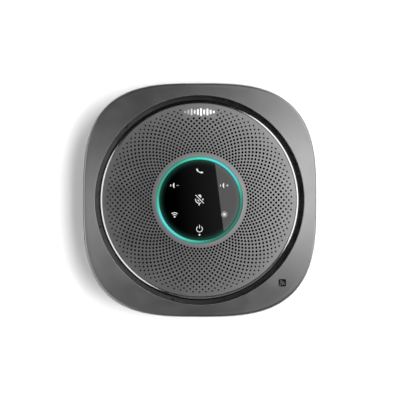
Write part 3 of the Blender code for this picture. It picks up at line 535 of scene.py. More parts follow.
def wrapped(rings, gap=None):
    """A closed body whose rings, of equally many points each, go round like a tyre's section.

    After the ring whose number is gap, two flat faces take the place of the band to the next one.
    """
    size = len(rings[0])
    loops = [list(range(row * size, (row + 1) * size)) for row in range(len(rings))]
    faces = []
    for row, low in enumerate(loops):
        high = loops[(row + 1) % len(loops)]
        faces += [low, high[::-1]] if row == gap else band(high, low)
    return from_faces([point for ring in rings for point in ring], faces)


def capped(rings):
    """A closed body from its top ring down to its bottom one, with a flat face over each."""
    return wrapped(rings[::-1], len(rings) - 1)


def outward(mesh):
    """The mesh with all its faces turned outwards."""
    shape = bmesh.new()
    shape.from_mesh(mesh)
    bmesh.ops.recalc_face_normals(shape, faces=shape.faces)
    shape.to_mesh(mesh)
    shape.free()
    return mesh


def polar(radius, angle, z=0.0):
    return Vector((radius * math.cos(angle), radius * math.sin(angle), z))


def circle(radius, z, count=OUTLINE_POINTS):
    return [polar(radius, FULL_TURN * k / count, z) for k in range(count)]


def arc(centre, radius, start, end, steps):
    """Points on an arc in a plane, from one angle to the other, in degrees."""
    turns = [math.radians(start + (end - start) * k / steps) for k in range(steps + 1)]
    return [(centre[0] + radius * math.cos(t), centre[1] + radius * math.sin(t)) for t in turns]


def box_points(low, high, radius=0.0, steps=5):
    """A rectangle, anticlockwise from its upper right corner, with its corners rounded if asked."""
    left, right = low[0] + radius, high[0] - radius
    bottom, top = low[1] + radius, high[1] - radius
    corners = [(right, top), (left, top), (left, bottom), (right, bottom)]
    if not radius:
        return corners
    points = []
    for number, corner in enumerate(corners):
        points += arc(corner, radius, 90 * number, 90 * number + 90, steps)
    return points


def turned(profile, count=ROUND_POINTS):
    """A ring whose section is this closed profile of (r, z), listed anticlockwise."""
    return wrapped([circle(radius, z, count) for radius, z in profile])


def disc(profile, count=ROUND_POINTS):
    """A solid disc whose outer side is this profile, from the top down."""
    return capped([circle(radius, z, count) for radius, z in profile])


def moved(mesh, offset):
    mesh.transform(Matrix.Translation(offset))
    return mesh


def drill(radius, top, low, at):
    """A cutter for a round hole between two heights."""
    return moved(disc([(radius, top), (radius, low)], DRILL_POINTS), at)


def port_drills(radius, top, low):
    """Cutters for the microphone ports."""
    return [drill(radius, top, low, polar(MIC_ORBIT, angle)) for angle in MIC_ANGLES]


def cut(mesh, cutters):
    """The mesh less some cutter meshes, by Boolean."""
    target = linked("target", mesh)
    tools = [linked("cutter", cutter) for cutter in cutters]
    for tool in tools:
        boolean = target.modifiers.new("cut", "BOOLEAN")
        boolean.operation = "DIFFERENCE"
        boolean.object = tool
    bpy.context.view_layer.update()
    evaluated = target.evaluated_get(bpy.context.evaluated_depsgraph_get())
    result = bpy.data.meshes.new_from_object(evaluated)
    for used in [target, *tools]:
        bpy.data.objects.remove(used)
    return result


# ------------ housing


def outline(angle, inset=0.0):
    """How far the widest outline is from the middle at this angle, less an inset."""
    c, s = abs(math.cos(angle)), abs(math.sin(angle))
    return HALF_WIDTH / (c**SQUARENESS + s**SQUARENESS) ** (1 / SQUARENESS) - inset


def crown(radius):
    """Height of the sloping top face of the rim."""
    return COVER_HIGH.z - math.tan(CROWN_ANGLE) * (radius - CROWN_START)


def section_ring(section):
    """The points round the housing of a section, which gives (radius, z) at an angle."""
    angles = [FULL_TURN * k / OUTLINE_POINTS for k in range(OUTLINE_POINTS)]
    places = [(angle, *section(angle)) for angle in angles]
    return [polar(radius, angle, z) for angle, radius, z in places]


def side(inset, z):
    return section_ring(lambda angle: (outline(angle, inset), z))


def edge_ring(turn):
    """Part of the way round the cover's outer edge, from 0 at the side to 1 on top."""
    lean = turn * (math.pi / 2 - CROWN_ANGLE)

    def section(angle):
        start = outline(angle, EDGE_RADIUS)
        return start + EDGE_RADIUS * math.cos(lean), crown(start) - EDGE_RADIUS * (1 - math.sin(lean))

    return section_ring(section)


def crown_ring(share):
    """On the sloping face, from 0 at the outer edge to 1 at the opening."""

    def section(angle):
        start = outline(angle, EDGE_RADIUS) + EDGE_RADIUS * math.sin(CROWN_ANGLE)
        radius = start + (CROWN_START - start) * share
        return radius, crown(radius)

    return section_ring(section)


def inner_ring(inset, depth):
    """Inside the cover, this far in from the outline and this far below its outer edge."""

    def section(angle):
        return outline(angle, inset), crown(outline(angle, EDGE_RADIUS)) - depth

    return section_ring(section)


def side_inset(z):
    """How far the housing's side lies inside its widest outline at this height."""
    if z >= COVER_LOW.z:
        share = (WIDEST_Z - min(z, WIDEST_Z)) / (WIDEST_Z - COVER_LOW.z)
        return PARTING_INSET * share**2.2
    share = (COVER_LOW.z - z) / (COVER_LOW.z - TRAY_LOW.z)
    return PARTING_INSET + (BASE_INSET - PARTING_INSET) * (0.42 * share + 0.58 * share**3.4)


def top_cover():
    """The upper shell: up the outside, over the rim, down to the lip and back inside."""
    bottom, start, knee = COVER_LOW.z, COVER_LOW.z + PARTING_ROUND, 21 * MM
    heights = [start + (WIDEST_Z - start) * k / 10 for k in range(11)]
    mouth = arc((CROWN_START, crown(CROWN_START) - OPENING_ROUND), OPENING_ROUND, 82, 180, 4)
    rings = [
        side(PARTING_INSET + WALL, bottom),
        side(PARTING_INSET + PARTING_ROUND, bottom),
        *[side(side_inset(z), z) for z in heights],
        *[edge_ring(turn / 7) for turn in range(8)],
        *[crown_ring(share) for share in (0.03, 0.2, 0.4, 0.6, 0.8, 0.97)],
        *[circle(radius, z) for radius, z in mouth],
        circle(OPENING_RADIUS, LIP_TOP),
        circle(LIP_RADIUS + LIP_ROUND, LIP_TOP),
        circle(LIP_RADIUS, LIP_TOP - LIP_ROUND),
        circle(LIP_RADIUS, LIP_TOP - WALL),
        circle(OPENING_RADIUS + WALL, LIP_TOP - WALL),
        circle(OPENING_RADIUS + WALL, crown(OPENING_RADIUS) - WALL * 1.5),
        inner_ring(EDGE_RADIUS + WALL, WALL),
        inner_ring(WALL, EDGE_RADIUS + WALL),
        side(WALL, WIDEST_Z),
        side(side_inset(knee) + WALL, knee),
    ]
    drills = port_drills(PORT_RADIUS_IN_LIP, LIP_TOP + MM, LIP_TOP - 3 * MM)
    stand_in("cover_shell", cut(wrapped(rings), drills), "top_cover")


def bottom_cover():
    """The tray, with recesses in its base for the foot, a plate and the screws."""
    top, base = TRAY_HIGH.z, TRAY_LOW.z
    rounding, bevel = 0.3 * MM, 0.25 * MM
    heights = [top - rounding - (top - rounding - base) * k / 12 for k in range(12)]
    wide, narrow, recess_top = FOOT_OUTER + RECESS_GAP, FOOT_INNER - RECESS_GAP, FOOT_HIGH.z + RECESS_GAP
    outside = [
        side(PARTING_INSET + TRAY_WALL, top),
        side(PARTING_INSET + rounding, top),
        *[side(side_inset(z), z) for z in heights],
        side(BASE_INSET + 0.6 * MM, base),
        side(BASE_INSET + 3 * MM, base),
        circle(wide + bevel, base),
        circle(wide, base + bevel),
        circle(wide, recess_top),
        circle(narrow, recess_top),
        circle(narrow, base + bevel),
        circle(narrow - bevel, base),
        circle(PLATE_RADIUS + bevel, base),
        circle(PLATE_RADIUS, base + bevel),
        circle(PLATE_RADIUS - 0.1 * MM, base + PLATE_DEPTH),
        circle(MM, base + PLATE_DEPTH),
    ]
    inside = [circle(MM, FLOOR_Z)]
    for share, rise in ((1, 0), (0.62, 1.2 * MM), (0.37, 5.2 * MM)):
        inside.append(side(BASE_INSET * share + TRAY_WALL, FLOOR_Z + rise))
    drills = [moved(screw_recess(), polar(POST_ORBIT, angle)) for angle in CORNER_ANGLES]
    drills += [socket_cutter(), drill(0.6 * MM, FLOOR_Z + MM, base - MM, (0, -36 * MM, 0))]
    mesh = outward(wrapped(outside + inside, len(outside) - 1))
    stand_in("tray_shell", cut(mesh, drills), "bottom_cover")


def screw_recess():
    """A cutter for a screw's hole through the floor and the recess for its head."""
    base, seat = TRAY_LOW.z, TRAY_LOW.z + HEAD_RECESS_DEPTH
    hole, flare = 1.6 * MM, 0.3 * MM
    profile = [
        (hole, FLOOR_Z + MM),
        (hole, seat),
        (HEAD_RECESS_RADIUS, seat),
        (HEAD_RECESS_RADIUS, base + flare),
        (HEAD_RECESS_RADIUS + 2 * flare, base - flare),
    ]
    return disc(profile, SCREW_POINTS)


def socket_ring(half, roundness, y):
    """A rounded rectangle round the socket's middle axis, of half.x by half.z."""
    section = box_points((-half.x, -half.z), (half.x, half.z), half.z * roundness, 8)
    return [Vector((SOCKET_MIDDLE.x + x, y, SOCKET_MIDDLE.z + z)) for x, z in section]


def socket_cutter():
    """A cutter for the opening in the rear wall, with a slight funnel outside."""
    half = SOCKET_HALF + Vector((0.6, 0, 0.4)) * MM
    wide = half + Vector((0.7, 0, 0.7)) * MM
    face_y = HALF_WIDTH - side_inset(SOCKET_MIDDLE.z)
    sections = ((wide, face_y + MM), (half, face_y - 0.5 * MM), (half, SOCKET_MIDDLE.y - 6 * MM))
    return outward(capped([socket_ring(size, 0.98, y) for size, y in sections]))


def foot_ring():
    """Rubber, with fine grooves round its underside."""
    low, high = FOOT_LOW.z, FOOT_HIGH.z
    chamfer, ribs, dip = 0.5 * MM, 6, 0.12 * MM
    pitch = (FOOT_OUTER - FOOT_INNER - 2 * chamfer) / (ribs + 0.4)
    profile = [(FOOT_OUTER, high), (FOOT_INNER, high)]
    profile += arc((FOOT_INNER + chamfer, low + chamfer), chamfer, 180, 270, 4)
    for k in range(ribs):
        start = FOOT_INNER + chamfer + pitch * (k + 0.7)
        for share, rise in ((0, 0), (0.16, dip), (0.32, dip), (0.48, 0)):
            profile.append((start + pitch * share, low + rise))
    profile += arc((FOOT_OUTER - chamfer, low + chamfer), chamfer, 270, 360, 4)
    stand_in("foot_rubber_ring", turned(profile), "foot_ring")


# ------------ island


def dome(radius):
    """Height of the grille's face."""
    return GRILLE_CROWN_Z - (GRILLE_CROWN_Z - GRILLE_EDGE_Z) * (radius / GRILLE_RADIUS) ** 2


def groove_ring():
    """The groove's bottom: a shallow slope that faces inwards, a flatter floor, and a skirt below."""
    rim, under = GROOVE_HIGH.z, GROOVE_HIGH.z - 1.2 * MM
    outer, inner = GROOVE_HIGH.x, 53.8 * MM
    skirt_outer, skirt_inner = 55.6 * MM, 54.4 * MM
    fold, fold_z = 56.35 * MM, rim - 0.32 * MM
    profile = [
        (outer, under),
        (outer, rim),
        (fold, fold_z),
        (inner, fold_z - 0.2 * MM),
        (inner, under),
        (skirt_inner, under),
        (skirt_inner, GROOVE_LOW.z),
        (skirt_outer, GROOVE_LOW.z),
        (skirt_outer, under),
    ]
    mesh = cut(turned(profile), port_drills(PORT_RADIUS, rim + MM, under - MM))
    stand_in("groove_floor", mesh, "groove_ring")


def grille_trim():
    """The bright ring: a bevel that falls away from the grille, with both its edges rounded."""
    top, low = TRIM_HIGH.z, TRIM_LOW.z
    inner, outer, waist = 53.88 * MM, TRIM_HIGH.x, 54.8 * MM
    fold, lip = 0.1 * MM, 0.07 * MM
    bevel_end = top - (waist - inner) * math.tan(TRIM_SLOPE)
    upright = 90 - math.degrees(TRIM_SLOPE)
    profile = [
        (outer, low),
        (outer, bevel_end - 1.1 * MM),
        *arc((waist - fold, bevel_end - fold * math.cos(TRIM_SLOPE)), fold, 20, upright, 4),
        *arc((inner + lip, top - lip), lip, upright, 180, 4),
        (inner, low),
    ]
    return stand_in("trim_ring", turned(profile, TRIM_POINTS), "grille_trim")


def hole_radius(ring):
    """The outermost rings have smaller holes."""
    return WIDEST_HOLE / 2 * HOLE_SHARES[max(0, ring - EMBLEM_RING + 1)]


def hole_place(ring, step):
    """A hole's orbit and the angle of its middle."""
    return FIRST_RING + RING_PITCH * ring, math.pi * step / HOLES_PER_RING


def beside_hole(place, reach, angle):
    """The point (x, y) at this reach and angle from a hole's middle."""
    orbit, turn = place
    radial, across = orbit + reach * math.cos(angle), reach * math.sin(angle)
    c, s = math.cos(turn), math.sin(turn)
    return radial * c - across * s, radial * s + across * c


def under_emblem(ring, step):
    orbit, turn = hole_place(ring, step)
    return ring >= EMBLEM_RING and math.sin(turn) > 0 and abs(math.cos(turn)) * orbit < EMBLEM_HALF_WIDTH


class Plate:
    """Points and faces of the perforated plate, built one hole's cell at a time.

    Each cell is the patch of plate round a hole: eight points on its border and, on both faces, a
    fan of five-sided faces from them to the hole's circle. Neighbouring cells share their borders.
    """

    def __init__(self):
        self.points, self.faces = [], []
        self.border = [self.pairs(FIRST_RING + RING_PITCH * (k - 0.5)) for k in range(HOLE_RINGS + 1)]
        self.middle = [self.pairs(FIRST_RING + RING_PITCH * k) for k in range(HOLE_RINGS)]

    def add(self, x, y, drop):
        """The number of a new point, this far below the plate's face."""
        self.points.append((x, y, dome(math.hypot(x, y)) - drop))
        return len(self.points) - 1

    def row(self, radius, drop):
        """Points all round the plate."""
        return [self.add(x, y, drop) for x, y, _ in circle(radius, 0, PLATE_STEPS)]

    def pairs(self, radius):
        """Pairs (top, bottom) of points all round the plate."""
        return list(zip(self.row(radius, 0), self.row(radius, GRILLE_THICKNESS)))

    def cell(self, ring, step):
        """The border pairs of a cell, from its inner corner on one side round to its inner middle."""
        before, here, after = [(step + k) % PLATE_STEPS for k in (-1, 0, 1)]
        inner, outer, middle = self.border[ring], self.border[ring + 1], self.middle[ring]
        one_side = [inner[before], middle[before], outer[before]]
        return [*one_side, outer[here], outer[after], middle[after], inner[after], inner[here]]

    def plain(self, ring, step):
        """A cell without a hole."""
        cell = self.cell(ring, step)
        self.faces.append([top for top, _ in cell])
        self.faces.append([low for _, low in reversed(cell)])

    def hole(self, ring, step):
        """A cell with a hole, whose mouth is chamfered."""
        radius = hole_radius(ring)
        angles = [math.radians(225) + FULL_TURN * k / HOLE_POINTS for k in range(HOLE_POINTS)]
        loops = []
        for grown, drop in ((HOLE_CHAMFER, 0), (0, HOLE_CHAMFER), (0, GRILLE_THICKNESS)):
            loop = [beside_hole(hole_place(ring, step), radius + grown, angle) for angle in angles]
            loops.append([self.add(*point, drop) for point in loop])
        mouth, throat, end = loops
        self.faces += band(mouth, throat) + band(throat, end)
        cell = self.cell(ring, step)
        for k, here in enumerate(cell):
            after = cell[(k + 1) % len(cell)]
            a, b, c = 2 * k, 2 * k + 1, (2 * k + 2) % HOLE_POINTS
            self.faces.append([here[0], after[0], mouth[c], mouth[b], mouth[a]])
            self.faces.append([after[1], here[1], end[a], end[b], end[c]])

    def rim(self, border, profile, outwards):
        """Joins the top and bottom of a border through a profile of (radius, drop)."""
        rows = [[top for top, _ in border]]
        rows += [self.row(radius, drop) for radius, drop in profile]
        rows.append([low for _, low in border])
        for high, low in zip(rows, rows[1:]):
            self.faces += band(high, low) if outwards else band(low, high)


def speaker_grille():
    """The perforated plate, with soft edges outside and round the light ring."""
    plate = Plate()
    for ring in range(HOLE_RINGS):
        for k in range(HOLES_PER_RING):
            step = 2 * k + ring % 2
            fill = plate.plain if under_emblem(ring, step) else plate.hole
            fill(ring, step)
    rounding = ((1.2, 0), (1, 0), (0.3, 0.3), (0, 1))
    size = GRILLE_EDGE_ROUND
    for number, edge, inwards in ((-1, GRILLE_RADIUS, -size), (0, GRILLE_HOLE, size)):
        profile = [(edge + inwards * along, size * down) for along, down in rounding]
        plate.rim(plate.border[number], [*profile, (edge, GRILLE_THICKNESS)], inwards < 0)
    stand_in("perforated_grille", from_faces(plate.points, plate.faces), "speaker_grille")


def light_ring():
    """The guide: a flange under the grille, and a softly rounded top edge that shows."""
    top, low = RING_HIGH.z, RING_LOW.z
    flange_top, shoulder = 35.5 * MM, top - 0.42 * MM
    gap, step = 0.04 * MM, 0.05 * MM
    nose, middle = (RING_OUTER - RING_INNER) / 2, (RING_OUTER + RING_INNER) / 2
    flat = 0.45  # how far the top is flattened
    crest = [(r, top + (z - top) * flat) for r, z in arc((middle, top - nose), nose, 0, 180, 12)]
    profile = [
        (RING_FLANGE, low),
        (RING_FLANGE, flange_top),
        (GRILLE_HOLE - gap, flange_top),
        (GRILLE_HOLE - gap, shoulder),
        (RING_OUTER + gap, shoulder + step),
        *crest,
        (RING_INNER, low),
    ]
    stand_in("light_guide_ring", turned(profile), "light_ring")


def touch_glass():
    """A disc with a rounded upper edge."""
    top, edge = GLASS_HIGH.z, 0.2 * MM
    rounded = arc((GLASS_RADIUS - edge, top - edge), edge, 90, 0, 6)
    profile = [(GLASS_RADIUS - 1.2 * edge, top), *rounded, (GLASS_RADIUS, GLASS_LOW.z)]
    stand_in("glass_plate", disc(profile), "touch_glass")


# ------------ printed marks, in millimetres


def stroke_outline(points, widths):
    """The outline of a line with round ends, drawn along points with these widths."""
    points = [Vector(point) for point in points]
    left, right = [], []
    for k, point in enumerate(points):
        ahead = points[min(k + 1, len(points) - 1)] - points[max(k - 1, 0)]
        normal = Vector((-ahead.y, ahead.x)).normalized()
        left.append(point + normal * widths[k] / 2)
        right.append(point - normal * widths[k] / 2)

    def cap(end, start):
        turns = [Matrix.Rotation(-math.pi * k / 6, 2) for k in range(1, 6)]
        return [end + turn @ (start - end) for turn in turns]

    return left + cap(points[-1], left[-1]) + right[::-1] + cap(points[0], right[0])


def disc_points(centre, radius, steps=24):
    return arc(centre, radius, 0, 360, steps)[:-1]


class Print:
    """Thin raised print, made of filled outlines on a surface."""

    def __init__(self, centre, surface):
        self.shape = bmesh.new()
        self.centre, self.surface = Vector(centre[:2]), surface

    def lift(self, outline_points, height):
        """New points at this height over the surface."""
        places = [self.centre + Vector(point) * MM for point in outline_points]
        return [self.shape.verts.new((at.x, at.y, self.surface(at) + height)) for at in places]

    def wall(self, first, second):
        for face in band(first, second):
            self.shape.faces.new(face)

    def fill(self, outline_points):
        """A filled outline, listed either way round."""
        top, low = self.lift(outline_points, PRINT_HEIGHT), self.lift(outline_points, PRINT_FOOT)
        self.shape.faces.new(top)
        self.shape.faces.new(low[::-1])
        self.wall(top, low)

    def stroke(self, points, width):
        self.fill(stroke_outline(points, [width] * len(points)))

    def ring(self, centre, radius, width):
        """A full circle of this width."""
        outer, inner = [disc_points(centre, radius + half, 40) for half in (width / 2, -width / 2)]
        loops = [self.lift(outer, PRINT_HEIGHT), self.lift(inner, PRINT_HEIGHT)]
        loops += [self.lift(inner, 0), self.lift(outer, 0)]
        for first, second in zip(loops, loops[1:] + loops[:1]):
            self.wall(first, second)

    def done(self, name, look, slot="touch_glass"):
        bmesh.ops.recalc_face_normals(self.shape, faces=self.shape.faces)
        bmesh.ops.triangulate(self.shape, faces=[f for f in self.shape.faces if len(f.verts) > 4])
        mesh = bpy.data.meshes.new(name)
        self.shape.to_mesh(mesh)
        self.shape.free()
        finished(name, mesh, look)


def on_glass(_):
    return GLASS_HIGH.z + PRINT_GAP


def on_grille(at):
    return dome(at.length) + PRINT_GAP


def on_crown(at):
    return crown(at.length) + PRINT_GAP


def key(degrees):
    """The print on the key at this angle round the glass."""
    return Print(polar(KEY_ORBIT, math.radians(degrees)), on_glass)


def handset_icon():
    """A telephone handset, its back to the lower left: a line whose width varies."""
    spine = [(-1.42, 1.1), (-1.24, 0.7), (-0.96, 0.24), (-0.5, -0.2)]
    spine += [(0, -0.48), (0.6, -0.64), (1.15, -0.68), (1.6, -0.66)]
    icon = key(90)
    icon.fill(stroke_outline(spine, [0.75, 0.9, 0.62, 0.46, 0.46, 0.62, 0.92, 0.8]))
    icon.done("icon_handset", WHITE_PRINT)


def loudspeaker_icon(name, degrees, plus):
    """A small loudspeaker, with a dimmer minus or plus beside it."""
    icon = key(degrees)
    icon.fill(box_points((-2.4, -0.42), (-1.95, 0.62), 0.2))
    icon.fill([(-0.95, -0.4), (-0.5, -1.2), (-0.14, -1.2), (-0.14, 1.4), (-0.5, 1.4), (-0.95, 0.6)])
    icon.done(name, WHITE_PRINT)
    sign = key(degrees)
    sign.fill(box_points((0.95, -0.1), (2.35, 0.32)))
    if plus:
        sign.fill(box_points((1.44, 0.34), (1.86, 0.82)))
        sign.fill(box_points((1.44, -0.6), (1.86, -0.12)))
    sign.done(f"{name}_sign", SOFT_PRINT if plus else DIM_PRINT)


def mute_icon():
    """A microphone with a thin stroke across it, which clears a gap on both its sides."""
    icon = Print((0, 0), on_glass)
    icon.stroke([(-2.1, 2.7), (2.2, -1.72)], 0.36)
    icon.fill([(-0.72, 2.55), *arc((0.05, 2.12), 0.9, 142, 0, 10), (0.95, 1.08)])
    icon.stroke([(-0.88, 0.0), (-0.66, -0.35), (-0.26, -0.62)], 0.44)
    icon.stroke(arc((-0.12, 0.22), 2.02, 172, 292, 14), 0.42)
    icon.stroke([(1.9, 0.52), (1.84, 0.12)], 0.62)
    icon.stroke([(-0.2, -2.1), (-0.2, -2.85)], 0.5)
    icon.done("icon_microphone_off", WHITE_PRINT)


def wireless_icon():
    """A dot with two arcs over it."""
    icon, dot = key(210), (0, -1.35)
    icon.fill(disc_points(dot, 0.46))
    for radius in (1.3, 2.3):
        icon.stroke(arc(dot, radius, 50, 130, 10), 0.4)
    icon.done("icon_wireless", WHITE_PRINT)


def record_icon():
    """A bright dot on a dim disc."""
    disc_print, dot = key(330), key(330)
    disc_print.ring((0, 0), 1.24, 0.95)
    dot.fill(disc_points((0, 0), 0.68))
    disc_print.done("icon_dot_ring", DIM_PRINT)
    dot.done("icon_dot", WHITE_PRINT)


def power_icon():
    """A broken circle with a bar in its gap, over a round indicator."""
    icon = key(270)
    icon.stroke(arc((0, -0.15), 1.62, 132, 408, 40), 0.36)
    icon.stroke([(0, 0.35), (0, 2.0)], 0.36)
    icon.fill(disc_points((0, -3.35), 0.5))
    icon.done("icon_power", WHITE_PRINT)


def emblem():
    """A row of rounded bars like a sound wave."""
    heights = (1.5, 2.6, 3.6, 2.4, 3.4, 4.3, 2.8, 3.8, 2.5, 1.5)
    pitch, width = 1.76, 0.98
    icon = Print((0, EMBLEM_Y), on_grille)
    for k, height in enumerate(heights):
        x, reach = (k - (len(heights) - 1) / 2) * pitch, (height - width) / 2
        icon.stroke([(x, -reach), (x, reach)], width)
    icon.done("emblem_bars", EMBLEM_PRINT, "grille_metal")


def tap_mark():
    """Where to hold a phone: a dark square, with a dot and two arcs in it."""
    patch = Print(TAP_MARK, on_crown)
    patch.fill(box_points((-2.05, -2.05), (2.05, 2.05), 0.6))
    patch.done("tap_mark_patch", MARK_INK, "groove_black")
    icon, dot = Print(TAP_MARK, lambda at: on_crown(at) + PRINT_HEIGHT), (-1.2, -1.2)
    icon.fill(disc_points(dot, 0.38, 16))
    for radius in (1.3, 2.3):
        icon.stroke(arc(dot, radius, 5, 85, 10), 0.42)
    icon.done("tap_mark_waves", LOOKS["graphite_shell"], "graphite_shell")


# ------------ screws and socket


def housing_screw(number, angle):
    """A pan head with a six-lobed recess, and its shaft with ridges for the thread."""
    node = f"housing_screw_{number}"
    low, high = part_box(node)
    head, shaft, head_top, head_round = 2.4 * MM, 1.2 * MM, 3.1 * MM, 0.7 * MM
    profile = [(0.5 * MM, high.z), (shaft, high.z - 0.9 * MM)]
    z, pitch = high.z - 1.2 * MM, 0.5 * MM
    while z > head_top + 0.6 * MM:
        profile += [(shaft, z), (shaft * 0.8, z - pitch / 2)]
        z -= pitch
    profile += [(shaft, head_top), (head, head_top)]
    profile += arc((head - head_round, low.z + head_round), head_round, 0, -90, 6)
    lobes = []
    for z in (low.z + MM, low.z - MM):
        turns = [FULL_TURN * k / SCREW_POINTS for k in range(SCREW_POINTS)]
        lobes.append([polar((1.05 + 0.2 * math.cos(6 * turn)) * MM, turn, z) for turn in turns])
    mesh = moved(cut(disc(profile, SCREW_POINTS), [capped(lobes)]), polar(POST_ORBIT, angle))
    stand_in(f"{node}_detailed", mesh, node)


def socket_shell():
    """The USB-C socket's drawn shell with a rounded lip, and the contact tongue inside."""
    back, front, lip = SOCKET_LOW.y, SOCKET_HIGH.y, 0.1 * MM
    tin = Vector((0.3, 0, 0.3)) * MM
    inside = [(1, back + 1.5 * MM), (1, front - lip), (0.75, front)]
    outside = [(0.25, front), (0, front - lip), (0, back)]
    rings = [socket_ring(SOCKET_HALF - tin * share, 0.96, y) for share, y in inside + outside]
    stand_in("socket_drawn_shell", outward(capped(rings)), "usb_c_port")
    tongue, corner = Vector((3.3, 0, 0.35)) * MM, 0.2 / 0.35
    ends = [socket_ring(tongue, corner, y) for y in (front - 1.2 * MM, back + 1.45 * MM)]
    mesh = outward(capped(ends))
    finished("socket_contact_tongue", mesh, LOOKS["groove_black"])


# ------------ the loudspeaker's suspension


def suspension(name, node, profile):
    """A ring between basket and cone, in sectors that each span a slice of the turn.

    The sectors meet side to side, and ride on no body.
    """
    width = FULL_TURN / SECTORS
    for number in range(SECTORS):
        angles = [width * (number + step / SECTOR_STEPS) for step in range(SECTOR_STEPS + 1)]
        loops = [[polar(radius, angle, z) for radius, z in profile] for angle in angles]
        piece = stand_in(f"{name}_{number + 1}", outward(capped(loops)), node, body=None)
        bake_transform(piece)


def surround():
    """A half roll of rubber, from a lip on the basket's flange to a rim along the cone's edge."""
    low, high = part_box("driver_surround")
    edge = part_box("driver_cone")[1]
    roll = high.z - low.z
    inner = edge.x + 0.3 * MM
    middle = inner + roll
    rim, rim_drop = edge.x - 1.1 * MM, 0.37 * MM  # how far the cone falls across the rim's width
    clear = 0.04 * MM
    profile = [
        (high.x, low.z),
        (high.x, low.z + SHEET),
        *arc((middle, low.z), roll, 12, 168, 16),
        (rim, edge.z + SHEET - rim_drop),
        (rim, edge.z + clear - rim_drop),
        (edge.x, edge.z + clear),
        *arc((middle, low.z), roll - SHEET, 180, 0, 16),
    ]
    suspension("surround_sector", "driver_surround", profile)


def spider():
    """A corrugated disc of cloth."""
    low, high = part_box("driver_spider")
    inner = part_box("voice_coil")[1].x + 0.05 * MM
    folds, steps = 6, 48
    wave = (high.z - low.z - SHEET) / 2
    upper = []
    for k in range(steps + 1):
        radius = inner + (high.x - inner) * k / steps
        upper.append((radius, high.z - wave - wave * math.cos(math.pi * folds * k / steps)))
    profile = upper + [(radius, z - SHEET) for radius, z in reversed(upper)]
    suspension("spider_sector", "driver_spider", profile)


# ------------ pieces inside


def dress_inner_nodes():
    """The CAD pieces that stay get their slot's look.

    The microphones' boards are black, a painted shade, so that their middles read dark where they show
    through the ports.
    """
    for name, node in frame["nodes"].items():
        if not node.hide_render:
            dress(node.data, PORT_SHADE_BOARD if name.startswith("mic_board") else LOOKS[SLOT_OF[name]])


# ------------ studio

CAMERA_HEIGHT = 2.0
PICTURE_WIDTH = 222.4 * MM  # of the plane through the outline, across the picture
CARD_HEIGHT = 0.5  # of the overhead cards
CARD_TURN = math.radians(7.3)  # of the overhead cards about Z
REFLECTED_EDGE = 10.9 * MM  # where the card's left edge shows in the glass
BOX_DISTANCE = 0.8
BOX_AIM = Vector((0, 0, 0.03))


def floor():
    bpy.ops.mesh.primitive_plane_add(size=6)
    plane = bpy.context.object
    plane.name = "studio_floor"
    look = Look("studio_floor", (0.86, 0.86, 0.86), 0.9)
    look.tint(look.noise(0.4), 0.99, 1.0)
    look.set("Specular IOR Level", 0.0)
    plane.data.materials.append(look.material)
    plane.location.z = CAD_BOX[0].z
    return plane


def soft_box(name, radiance, centre, size, turn=0.0):
    """A light of this size and radiance that faces down, unseen by the camera."""
    light = bpy.data.lights.new(name, "AREA")
    light.shape = "RECTANGLE"
    light.size, light.size_y = size
    light.energy = radiance * math.pi * size[0] * size[1]
    made = linked(name, light)
    made.location = centre
    made.rotation_euler.z = turn
    made.visible_camera = False
    return made


def aimed_box(name, radiance, azimuth, off_zenith, size):
    """A soft box aimed at the object, placed by degrees round it and off the vertical."""
    tilt = math.radians(off_zenith)
    centre = polar(BOX_DISTANCE * math.sin(tilt), math.radians(azimuth), BOX_DISTANCE * math.cos(tilt))
    made = soft_box(name, radiance, centre, size)
    made.rotation_euler = (BOX_AIM - centre).to_track_quat("-Z", "Y").to_euler()
    return made


def overhead_card(name, radiance, start, end, half_depth, shift=0.0):
    """A level card between two distances from the middle, turned a little about Z."""
    centre = polar(1, CARD_TURN) * (start + end) / 2 + polar(1, CARD_TURN + math.pi / 2) * shift
    centre.z = CARD_HEIGHT
    return soft_box(name, radiance, centre, (end - start, 2 * half_depth), turn=CARD_TURN)


def fade_across(light):
    """Makes a light's radiance fall to nothing from its right side to its left."""
    light.data.use_nodes = True
    tree = light.data.node_tree
    place = add_node(tree, "NewGeometry")["Parametric"]
    share = add_node(tree, "SeparateXYZ", {0: place})["X"]
    put(tree, share, tree.nodes["Emission"].inputs["Strength"])


def reserve(receiver, *sources):
    """Makes these lights reach one piece alone."""
    group = bpy.data.collections.new(f"{receiver.name}_only")
    group.objects.link(receiver)
    for source in sources:
        source.light_linking.receiver_collection = group


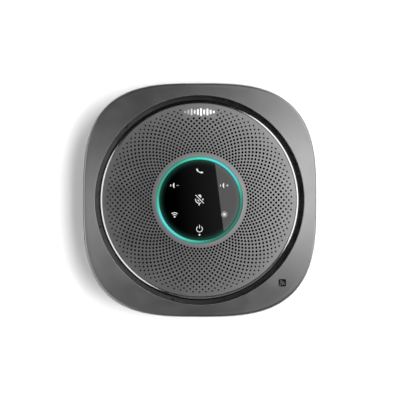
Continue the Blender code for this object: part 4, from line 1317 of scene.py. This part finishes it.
def lights(ground, trim):
    """A card overhead to the right, softer boxes at both sides, and a few for one piece alone."""
    edge = REFLECTED_EDGE * (1 + CARD_HEIGHT / CAMERA_HEIGHT)
    overhead_card("key_card", 2.4, edge, 0.3, 0.115, 0.012)
    fade_across(overhead_card("fading_card", 0.26, edge - 30 * MM, edge, 0.1))
    aimed_box("right_box", 2.45, 15.5, 50, (1.0, 0.58))
    aimed_box("front_box", 1.1, -20, 25, (0.2, 0.14))
    aimed_box("left_box", 2.0, 197, 47, (1.06, 0.44))
    aimed_box("left_strip", 1.5, 181, 25, (0.2, 0.2))
    trim_box = aimed_box("trim_box", 0.28, -72, 46, (0.7, 0.3))
    floor_card = soft_box("floor_card", 15, (0.16, 0.0, CARD_HEIGHT), (0.29, 0.4))
    floor_fill = soft_box("floor_fill", 0.42, (0, 0, 1), (2.4, 2.4))
    reserve(ground, floor_card, floor_fill)
    reserve(trim, trim_box)


def surroundings():
    """A world that is dim at the sides and black overhead, where the camera is."""
    world = bpy.data.worlds.new("studio")
    bpy.context.scene.world = world
    world.use_nodes = True
    tree = world.node_tree
    direction = add_node(tree, "TexCoord")["Generated"]
    height = add_node(tree, "SeparateXYZ", {0: direction})["Z"]
    inputs = {"Value": height, "From Min": 0.998, "From Max": 0.96, "To Min": 0.0, "To Max": 0.2}
    level = add_node(tree, "MapRange", inputs, interpolation_type="SMOOTHSTEP")["Result"]
    put(tree, level, tree.nodes["Background"].inputs["Strength"])


def camera():
    """Straight down from above, from far off, with the rear at the top."""
    lens = bpy.data.cameras.new("camera")
    made = linked("camera", lens)
    made.location = (0.28 * MM, 0, WIDEST_Z + CAMERA_HEIGHT)
    lens.lens = lens.sensor_width * CAMERA_HEIGHT / PICTURE_WIDTH
    bpy.context.scene.camera = made
    bpy.context.scene.view_settings.view_transform = "Standard"


camera()
lights(floor(), grille_trim())
surroundings()
top_cover()
bottom_cover()
foot_ring()
groove_ring()
speaker_grille()
light_ring()
touch_glass()
handset_icon()
loudspeaker_icon("icon_volume_down", 150, False)
loudspeaker_icon("icon_volume_up", 30, True)
mute_icon()
wireless_icon()
record_icon()
power_icon()
emblem()
tap_mark()
for corner, corner_angle in enumerate(CORNER_ANGLES, 1):
    housing_screw(corner, corner_angle)
socket_shell()
surround()
spider()
dress_inner_nodes()

bpy.context.view_layer.update()
